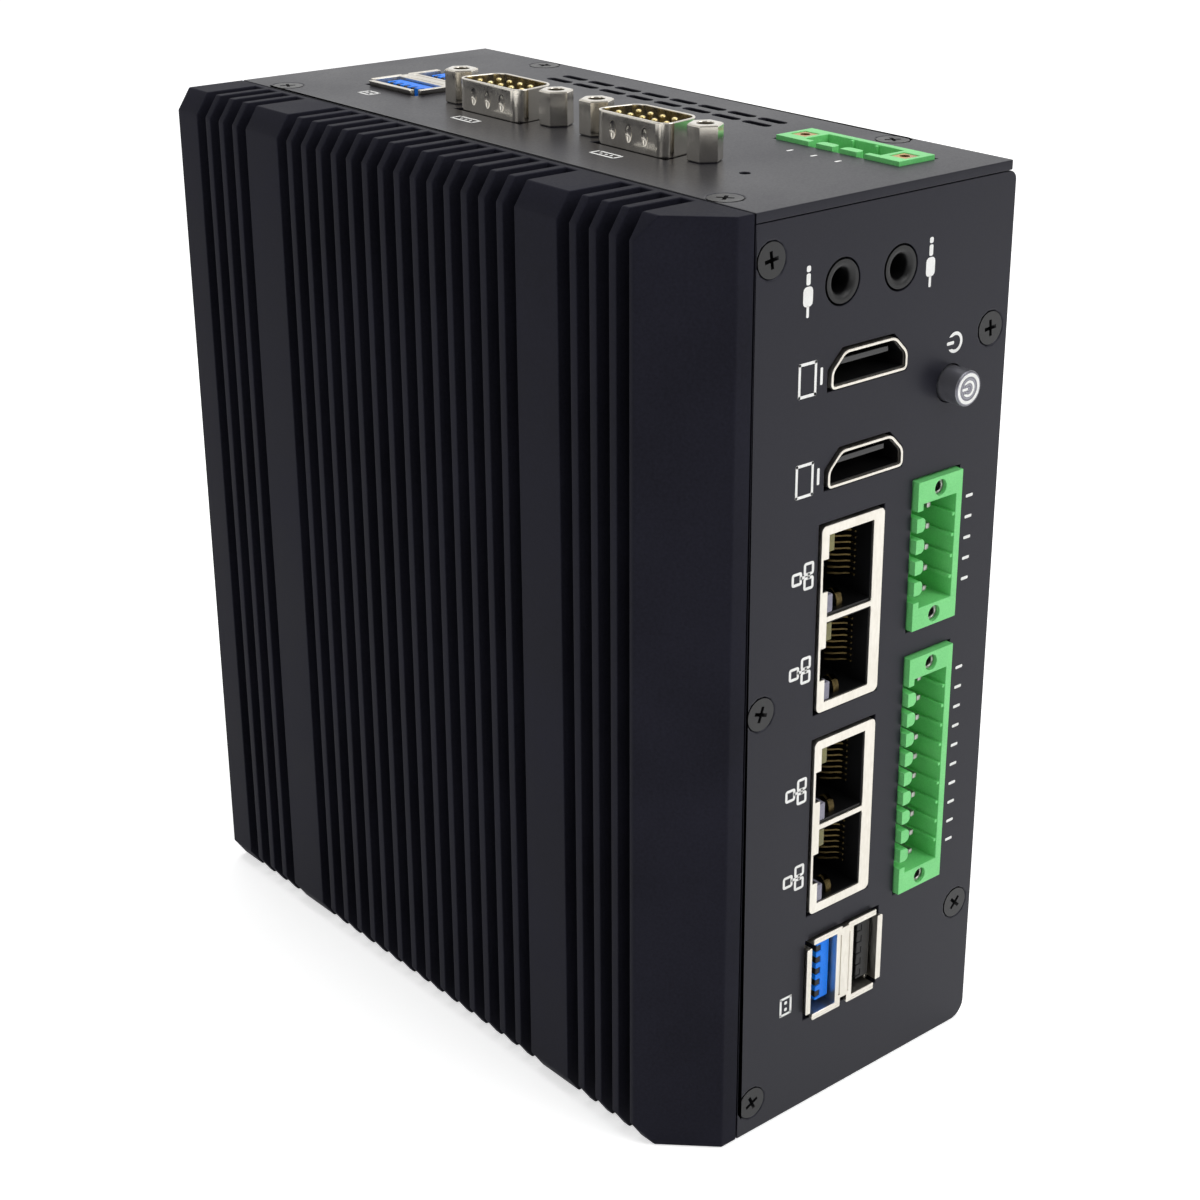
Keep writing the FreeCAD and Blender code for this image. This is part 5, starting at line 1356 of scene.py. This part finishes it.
@dataclass
class SignalHeaders:
    """The green headers with their pins, bushes and inserts."""

    pin_edge: float = 0.26
    bush: float = 1.2
    bush_deep: float = 6.0
    bore: float = 0.8
    bore_deep: float = 5.0
    lead_in: float = 0.12
    insert: float = 3.2
    insert_edge: float = 0.15
    insert_floor: float = 1.0
    power_block: float = 5.0

    def build(self) -> None:
        """Model the headers, pins, bushes and inserts."""
        for header in (
                Header("signal_header_long", Facing.FRONT, poles=10, pitch=3.5, end=5.35, proud=1.0),
                Header("signal_header_short", Facing.FRONT, poles=5, pitch=3.5, end=5.35, proud=1.0),
                Header("power_header", Facing.TOP, poles=3, pitch=5.08, end=7.9, proud=0.6,
                       square=self.insert, end_block=self.power_block, gap=1.5, near=POWER_SETBACK)):
            header.build()
        for node in ("signal_pins", "power_pins"):
            skin(node, TIN, self.pin_edge)
        self.bushes()
        self.inserts()

    def bushes(self) -> None:
        """Turn the round bushes of the signal headers."""
        places = [Facing.FRONT.place(((low.x + high.x) / 2, low.y, (low.z + high.z) / 2))
                  for low, high in islands("header_bushes")]
        bush = round_bar("bush_master", self.bush, -self.bush_deep, 0.0, sides=32)
        with open_mesh(bush):
            choose(bush, lambda place, way: way.z > STRAIGHT)
            bpy.ops.mesh.inset(thickness=self.bush - self.bore - self.lead_in)
            bpy.ops.mesh.inset(thickness=self.lead_in, depth=-self.lead_in)
            extrude(0.0, 0.0, -self.bore_deep)
        settle(copies(bush, "header_bush_rings", places), TIN, "case", ["header_bushes"])

    def inserts(self) -> None:
        """Mill the square brass inserts of the power header, with round threads."""
        low, high = corners("power_inserts")
        start, end = corners("power_header")
        half = self.insert / 2
        x = (start.x + POWER_SETBACK + end.x) / 2
        made = []
        for y in (start.y + self.power_block / 2, end.y - self.power_block / 2):
            square = block("insert_master", (x - half, y - half, low.z), (x + half, y + half, high.z))
            soften(square, self.insert_edge)
            carve(square, [round_bar("thread_cutter", self.bore, low.z + self.insert_floor, high.z + OVER,
                                     sides=32, at=(x, y))])
            made.append(square)
        settle(join(made, "power_insert_blocks"), BRASS, "case", ["power_inserts"])


@dataclass
class SerialPorts:
    """Two nine-pin serial connectors: dimpled bright shells, gold pins and hexagonal posts."""

    insert_edge: float = 0.1
    wide: float = 16.9
    thick: float = 8.4
    slant: float = 1.5
    corner: float = 2.2
    wall: float = 0.5
    rim: float = 0.16
    face_border: float = 0.3
    flange: float = 0.8
    flange_edge: float = 0.2
    dimple: Triple = (0.42, 0.8, 1.45)  # radii of the ball that presses it
    dimple_out: float = 0.08
    dimple_foot: float = 1.5
    dimples: int = 3
    spacing: float = 3.7
    pin: float = 0.5
    pin_nose: float = 0.38
    pin_top: float = 0.25
    post: float = 4.8
    post_tall: float = 5.6
    post_chamfer: float = 0.3
    post_bore: float = 1.3
    bore_foot: float = 1.0
    bore_rim: float = 1.4
    bore_edge: float = 0.2
    stud: float = 4.5
    stud_root: float = 0.2

    def build(self) -> None:
        """Model the shells, inserts, pins and posts."""
        for tag in ("front", "rear"):
            self.shell(tag)
            skin(f"serial_insert_{tag}", BLACK_PLASTIC, self.insert_edge)
        self.pins()
        self.posts()

    def shell(self, tag: str) -> None:
        """Draw a shell: slanted short sides, round corners, an open mouth, a flange and pressed dimples.

        Args:
            tag: Which connector.
        """
        node = f"serial_shell_{tag}"
        low, high = corners(node)
        _, seat = corners(f"serial_insert_{tag}")
        middle = (low + high) / 2
        lid = low.z + self.flange
        half_x, half_y = self.thick / 2, self.wide / 2
        shell = block(node + "_drawn", (middle.x - half_x, middle.y - half_y, lid),
                      (middle.x + half_x, middle.y + half_y, high.z))
        with open_mesh(shell):
            choose(shell, lambda place, way: way.x > STRAIGHT)
            bpy.ops.transform.resize(value=(1.0, 1.0 - self.slant / half_y, 1.0),
                                     center_override=(middle.x + half_x, middle.y, middle.z))
            bevel_edges(shell, lambda place, run: abs(run.z) > STRAIGHT, self.corner, segments=7)
            choose(shell, lambda place, way: way.z > STRAIGHT)
            bpy.ops.mesh.inset(thickness=self.wall)
            extrude(0.0, 0.0, seat.z - high.z)
            bevel_edges(shell, lambda place, run: place.z > high.z - CLOSE and abs(run.z) < LEVEL,
                        self.rim, segments=2)
            choose(shell, lambda place, way: abs(way.x) > STRAIGHT
                   and abs(abs(place.x - middle.x) - half_x) < CLOSE)
            bpy.ops.mesh.inset(thickness=self.face_border, use_individual=True)
        carve(shell, self.dents(middle, (lid + self.dimple_foot + high.z) / 2))
        with open_mesh(shell):
            bpy.ops.mesh.select_all(action="SELECT")
            bpy.ops.mesh.quads_convert_to_tris(ngon_method="BEAUTY")
        flange = block("flange", low, (high.x, high.y, lid))
        soften(flange, self.flange_edge)
        settle(join([shell, flange], shell.name), BRIGHT_NICKEL, "case", [node])

    def dents(self, middle: Vector, level: float) -> list[Piece]:
        """Model the balls that press the dimples of both long sides.

        Args:
            middle: Middle of the shell.
            level: Height of the dimples.

        Returns:
            The cutting shapes.
        """
        reach = self.thick / 2 + self.dimple_out
        rows = [middle.y + (i - (self.dimples - 1) / 2) * self.spacing for i in range(self.dimples)]
        return [primitive("dimple_ball", bpy.ops.mesh.primitive_uv_sphere_add, self.dimple, segments=28,
                          ring_count=16, radius=1.0, location=(middle.x + side * reach, y, level))
                for side in (-1, 1) for y in rows]

    def pins(self) -> None:
        """Turn the round-nosed pins."""
        seats = islands("serial_pins")
        places = [shift((low.x + high.x) / 2, (low.y + high.y) / 2, low.z) for low, high in seats]
        _, shell = corners("serial_shell_front")
        tall = shell.z - self.pin_top - seats[0][0].z
        pin = round_bar("pin_master", self.pin, 0.0, tall, sides=16)
        with open_mesh(pin):
            bevel_edges(pin, lambda place, run: place.z > tall - CLOSE and abs(run.z) < LEVEL,
                        self.pin_nose, segments=3)
        settle(copies(pin, "serial_pin_rods", places), GOLD, "case", ["serial_pins"])

    def posts(self) -> None:
        """Turn the hexagonal posts: chamfered ends, a bore with a lead-in and a stud below."""
        tall = self.post_tall
        hexagon = round_bar("post_master", self.post / math.sqrt(3), 0.0, tall, sides=6)
        with open_mesh(hexagon):
            choose(hexagon, lambda place, way: abs(way.z) > STRAIGHT)
            bpy.ops.mesh.bevel(offset=self.post_chamfer, segments=2, affect="EDGES")
        stud = round_bar("stud_master", self.post_bore, -self.stud, self.stud_root, sides=24)
        post = join([hexagon, stud], "post_master")
        carve(post, [round_bar("post_bore", self.post_bore, self.bore_foot, tall + OVER, sides=32)])
        with open_mesh(post):
            bevel_edges(post, lambda place, run: place.z > tall - CLOSE
                        and place.xy.length < self.bore_rim, self.bore_edge, segments=2)
        places = [shift((low.x + high.x) / 2, (low.y + high.y) / 2, high.z - tall)
                  for low, high in islands("jack_posts")]
        settle(copies(post, "jack_post_hexes", places), BRIGHT_NICKEL, "case", ["jack_posts"])


@dataclass
class RailClip:
    """Bracket, sprung latch and coil spring on the back."""

    edge: float = 0.35
    latch_edge: float = 0.245
    travel: float = 4.0

    def build(self) -> None:
        """Model the bracket and the latch, and copy the coil."""
        skin("rail_bracket", ZINC, self.edge)
        skin("rail_latch", ZINC, self.latch_edge, "latch")
        coil = settle(cad_copy("rail_spring", "rail_spring_coil"), SPRING_STEEL, "case", ["rail_spring"])
        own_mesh(coil)


@dataclass
class Prints:
    """White signs beside the sockets: plain pictograms and ticks, and no words."""

    face: float = -65.0
    lid: float = 150.0
    square: Range = (1.5, 0.46)  # outer radius and width of the line
    squares: tuple[Range, ...] = ((-1.3, 0.0), (1.15, 1.15), (1.15, -1.15))
    links: Bars = ((0.46, 0.9, 1.15, 0.0), (1.0, 0.46, -0.1, 0.0))
    power: Range = (1.65, 0.52)  # outer radius and width of the line
    screen: Bars = ((0.45, 5.2, -1.6, 0.0), (0.45, 5.2, 1.6, 0.0), (3.6, 0.45, 0.0, 2.4),
                    (3.6, 0.45, 0.0, -2.4), (0.5, 2.6, 2.8, 0.0))
    round_plug: Bars = ((0.8, 0.9, 0.0, 3.0), (0.8, 1.7, 0.0, 1.5), (1.9, 2.9, 0.0, -1.0),
                        (0.5, 1.7, 0.0, -3.2))
    flat_plug: Bars = ((0.42, 3.2, -1.1, 0.0), (0.42, 3.2, 1.1, 0.0), (2.6, 0.42, 0.0, 1.5),
                       (2.6, 0.42, 0.0, -1.5), (0.6, 0.6, 0.0, 0.6), (0.6, 0.6, 0.0, -0.6))
    slim_plug: Bars = ((0.4, 5.6, -0.9, 0.0), (0.4, 4.6, 0.9, 0.0), (2.0, 0.4, 0.0, 2.7),
                       (2.0, 0.4, 0.0, -2.7), (0.5, 0.5, 0.0, -1.2), (0.5, 0.5, 0.0, 0.0),
                       (0.5, 0.5, 0.0, 1.2))
    pole_tick: Bars = ((1.6, 0.5, 0.0, 0.0),)
    supply_tick: Bars = ((1.3, 0.5, 0.0, 0.0),)
    network_at: tuple[Range, ...] = ((-9.25, 94.0), (-9.25, 78.7), (-9.25, 58.3), (-9.25, 43.2))
    power_at: tuple[Range, ...] = ((21.6, 123.9),)
    screen_at: tuple[Range, ...] = ((-9.6, 109.2), (-9.6, 124.4))
    sound_at: tuple[Range, ...] = ((-10.0, 137.6), (15.2, 137.6))
    bus_at: tuple[Range, ...] = ((-10.2, 20.5),)
    lid_bus_at: tuple[Range, ...] = ((-10.4, 40.8),)
    serial_at: tuple[Range, ...] = ((-11.6, -23.3), (-11.6, 11.7))
    pole_x: float = 27.0
    pole_up: float = 0.5
    supply_x: float = 11.6

    def build(self) -> None:
        """Print the front panel and the lid."""
        poles = [(self.pole_x, low.z + self.pole_up) for low, _ in islands("signal_pins")]
        supplies = [(self.supply_x, (low.y + high.y) / 2) for low, high in islands("power_pins")]
        squares = [ring_mark(*self.square, sides=4, at=at) for at in self.squares]
        self.stamp("network_signs", squares + self.bars(self.links), Facing.FRONT, self.network_at)
        self.stamp("power_sign", power_sign(*self.power), Facing.FRONT, self.power_at, SIDEWAYS)
        self.stamp("screen_signs", self.bars(self.screen), Facing.FRONT, self.screen_at)
        self.stamp("sound_signs", self.bars(self.round_plug), Facing.FRONT, self.sound_at)
        self.stamp("bus_sign", self.bars(self.flat_plug), Facing.FRONT, self.bus_at)
        self.stamp("pole_ticks", self.bars(self.pole_tick), Facing.FRONT, poles)
        self.stamp("lid_bus_sign", self.bars(self.flat_plug), Facing.TOP, self.lid_bus_at)
        self.stamp("serial_signs", self.bars(self.slim_plug), Facing.TOP, self.serial_at)
        self.stamp("supply_ticks", self.bars(self.supply_tick), Facing.TOP, supplies)

    def bars(self, rows: Bars) -> list[Piece]:
        """Draw the bars of a sign."""
        return [bar_mark(*row) for row in rows]

    def stamp(self, name: str, marks: list[Piece], facing: Facing, places: Sequence[Range],
              twist: float = 0.0) -> None:
        """Print one sign at several places.

        Args:
            name: Name of the piece.
            marks: The parts of the sign; they are used up.
            facing: The side that it is printed on.
            places: Middles of the prints: x and z on the front, x and y on the lid.
            twist: Turn of the sign, in degrees.
        """
        sign = join(marks, name + "_master")
        spots = [(x, self.face, v) if facing is Facing.FRONT else (x, v, self.lid) for x, v in places]
        settle(copies(sign, name, [facing.place(at, twist) for at in spots]), WHITE_INK, "case")


@dataclass
class Lamp:
    """A soft box of the studio."""

    name: str
    at: Triple
    size: Range
    watts: float

    def hang(self, target: Vector) -> None:
        """Hang the lamp so that it looks at a point.

        Args:
            target: The point, in metres.
        """
        bpy.ops.object.select_all(action="DESELECT")
        bpy.ops.object.light_add(type="AREA", location=self.at)
        lamp = bpy.context.active_object
        lamp.name = self.name
        lamp.data.shape = "RECTANGLE"
        lamp.data.size, lamp.data.size_y = self.size
        lamp.data.energy = self.watts
        lamp.rotation_euler = (target - Vector(self.at)).to_track_quat("-Z", "Y").to_euler()


@dataclass
class Studio:
    """Camera, soft boxes, white floor and white surround, in metres."""

    # The camera's own axes and place.
    right: Triple = (0.749495, -0.661986, 0.00566)
    up: Triple = (0.243512, 0.283633, 0.927499)
    back: Triple = (-0.615597, -0.693777, 0.373783)
    eye: Triple = (-0.22223, -0.27482, 0.21931)
    sensor: float = 36.0
    lens: float = 66.227
    shift: Range = (-0.0554, -0.0461)
    nearest: float = 0.01
    target: Triple = (0.0, 0.0, 0.075)
    floor_size: float = 30.0
    floor_level: float = -0.0002
    floor_glow: float = 0.55
    # The way from the camera past the object, and how the surround's strength in gloss rises along it.
    far: Triple = (0.66, 0.74, 0.1)
    far_range: Range = (-0.3, 0.55)
    gloss_range: Range = (0.28, 1.0)
    # Strength of the surround as light on matt surfaces.
    fill: float = 0.4
    lamps: list[Lamp] = field(default_factory=lambda: [
        Lamp("soft_box_front", (0.35, -0.95, 0.75), (0.8, 0.8), 6.2),
        Lamp("soft_box_top", (0.1, 0.1, 1.15), (1.0, 1.0), 6.0),
        Lamp("soft_box_side", (-1.05, -0.15, 0.65), (0.6, 0.9), 1.5),
    ])

    def build(self) -> None:
        """Set the camera, the lamps, the floor and the surround."""
        self.camera()
        for lamp in self.lamps:
            lamp.hang(Vector(self.target))
        self.floor()
        self.surround()
        bpy.context.scene.view_settings.view_transform = "Standard"

    def camera(self) -> None:
        """Stand the camera where the photograph was taken from."""
        bpy.ops.object.select_all(action="DESELECT")
        bpy.ops.object.camera_add(location=self.eye)
        camera = bpy.context.active_object
        camera.rotation_euler = Matrix((self.right, self.up, self.back)).transposed().to_euler()
        camera.data.sensor_width = self.sensor
        camera.data.lens = self.lens
        camera.data.shift_x, camera.data.shift_y = self.shift
        camera.data.clip_start = self.nearest
        bpy.context.scene.camera = camera

    def floor(self) -> None:
        """Lay a pale matt floor that keeps the shadow and reads as white, in gloss too."""
        floor = primitive("studio_floor", bpy.ops.mesh.primitive_plane_add, size=self.floor_size,
                          location=(0.0, 0.0, self.floor_level))
        paper = bpy.data.materials.new("matt_white_paper")
        paper.use_nodes = True
        tree = paper.node_tree
        tree.nodes.clear()
        path = add_node(tree, "ShaderNodeLightPath")
        first = add_node(tree, "ShaderNodeMath", {
            0: path.outputs["Is Camera Ray"], 1: path.outputs["Is Glossy Ray"]}, operation="MAXIMUM")
        seen = add_node(tree, "ShaderNodeMath", {
            0: first.outputs[0], 1: path.outputs["Is Transmission Ray"]}, operation="MAXIMUM")
        matt = add_node(tree, "ShaderNodeBsdfDiffuse", {"Color": linear("#F4F4F4")})
        lift = add_node(tree, "ShaderNodeEmission", {
            "Color": linear("#FFFFFF"), "Strength": self.floor_glow})
        none = add_node(tree, "ShaderNodeEmission", {"Strength": 0.0})
        glow = add_node(tree, "ShaderNodeMixShader", {
            0: seen.outputs[0], 1: none.outputs[0], 2: lift.outputs[0]})
        both = add_node(tree, "ShaderNodeAddShader", {0: matt.outputs[0], 1: glow.outputs[0]})
        add_node(tree, "ShaderNodeOutputMaterial", {"Surface": both.outputs[0]})
        floor.data.materials.append(paper)

    def surround(self) -> None:
        """Surround the scene with white that gloss sees darken from behind the object to the camera."""
        world = bpy.data.worlds.new("white_surround")
        bpy.context.scene.world = world
        world.use_nodes = True
        tree = world.node_tree
        tree.nodes.clear()
        path = add_node(tree, "ShaderNodeLightPath")
        coords = add_node(tree, "ShaderNodeTexCoord")
        behind = add_node(tree, "ShaderNodeVectorMath", {0: coords.outputs["Generated"], 1: self.far},
                          operation="DOT_PRODUCT")
        gloss = add_node(tree, "ShaderNodeMapRange", {
            "Value": behind.outputs["Value"], "From Min": self.far_range[0], "From Max": self.far_range[1],
            "To Min": self.gloss_range[0], "To Max": self.gloss_range[1]})
        soft = add_node(tree, "ShaderNodeMix", {
            "Factor": path.outputs["Is Glossy Ray"], 2: self.fill, 3: gloss.outputs["Result"]},
            data_type="FLOAT")
        shown = add_node(tree, "ShaderNodeMath", {
            0: path.outputs["Is Camera Ray"], 1: path.outputs["Is Transmission Ray"]}, operation="MAXIMUM")
        level = add_node(tree, "ShaderNodeMix", {
            "Factor": shown.outputs[0], 2: soft.outputs[0], 3: 1.0}, data_type="FLOAT")
        sky = add_node(tree, "ShaderNodeBackground", {
            "Color": linear("#FFFFFF"), "Strength": level.outputs[0]})
        add_node(tree, "ShaderNodeOutputWorld", {"Surface": sky.outputs[0]})


def dress_nodes() -> None:
    """Give every CAD node the material of its slot; the coil has its own."""
    special = {"rail_spring": SPRING_STEEL}
    for name, node in frame["nodes"].items():
        finish = special.get(name, SLOT_FINISH[NODE_SLOT[name]])
        node.data.materials.clear()
        node.data.materials.append(finish.material())


def main() -> None:
    """Build the sub-assemblies in order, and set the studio."""
    logging.basicConfig(level=logging.INFO, format="%(name)s: %(message)s")
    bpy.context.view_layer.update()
    dress_nodes()
    for part in (Case(), Screws(), AudioJacks(), PushButton(), NetworkJacks(), VideoSockets(), BusStacks(),
                 SignalHeaders(), SerialPorts(), RailClip(), Prints(), Studio()):
        LOG.info("building %s", type(part).__name__)
        part.build()


if __name__ == "__main__":
    main()
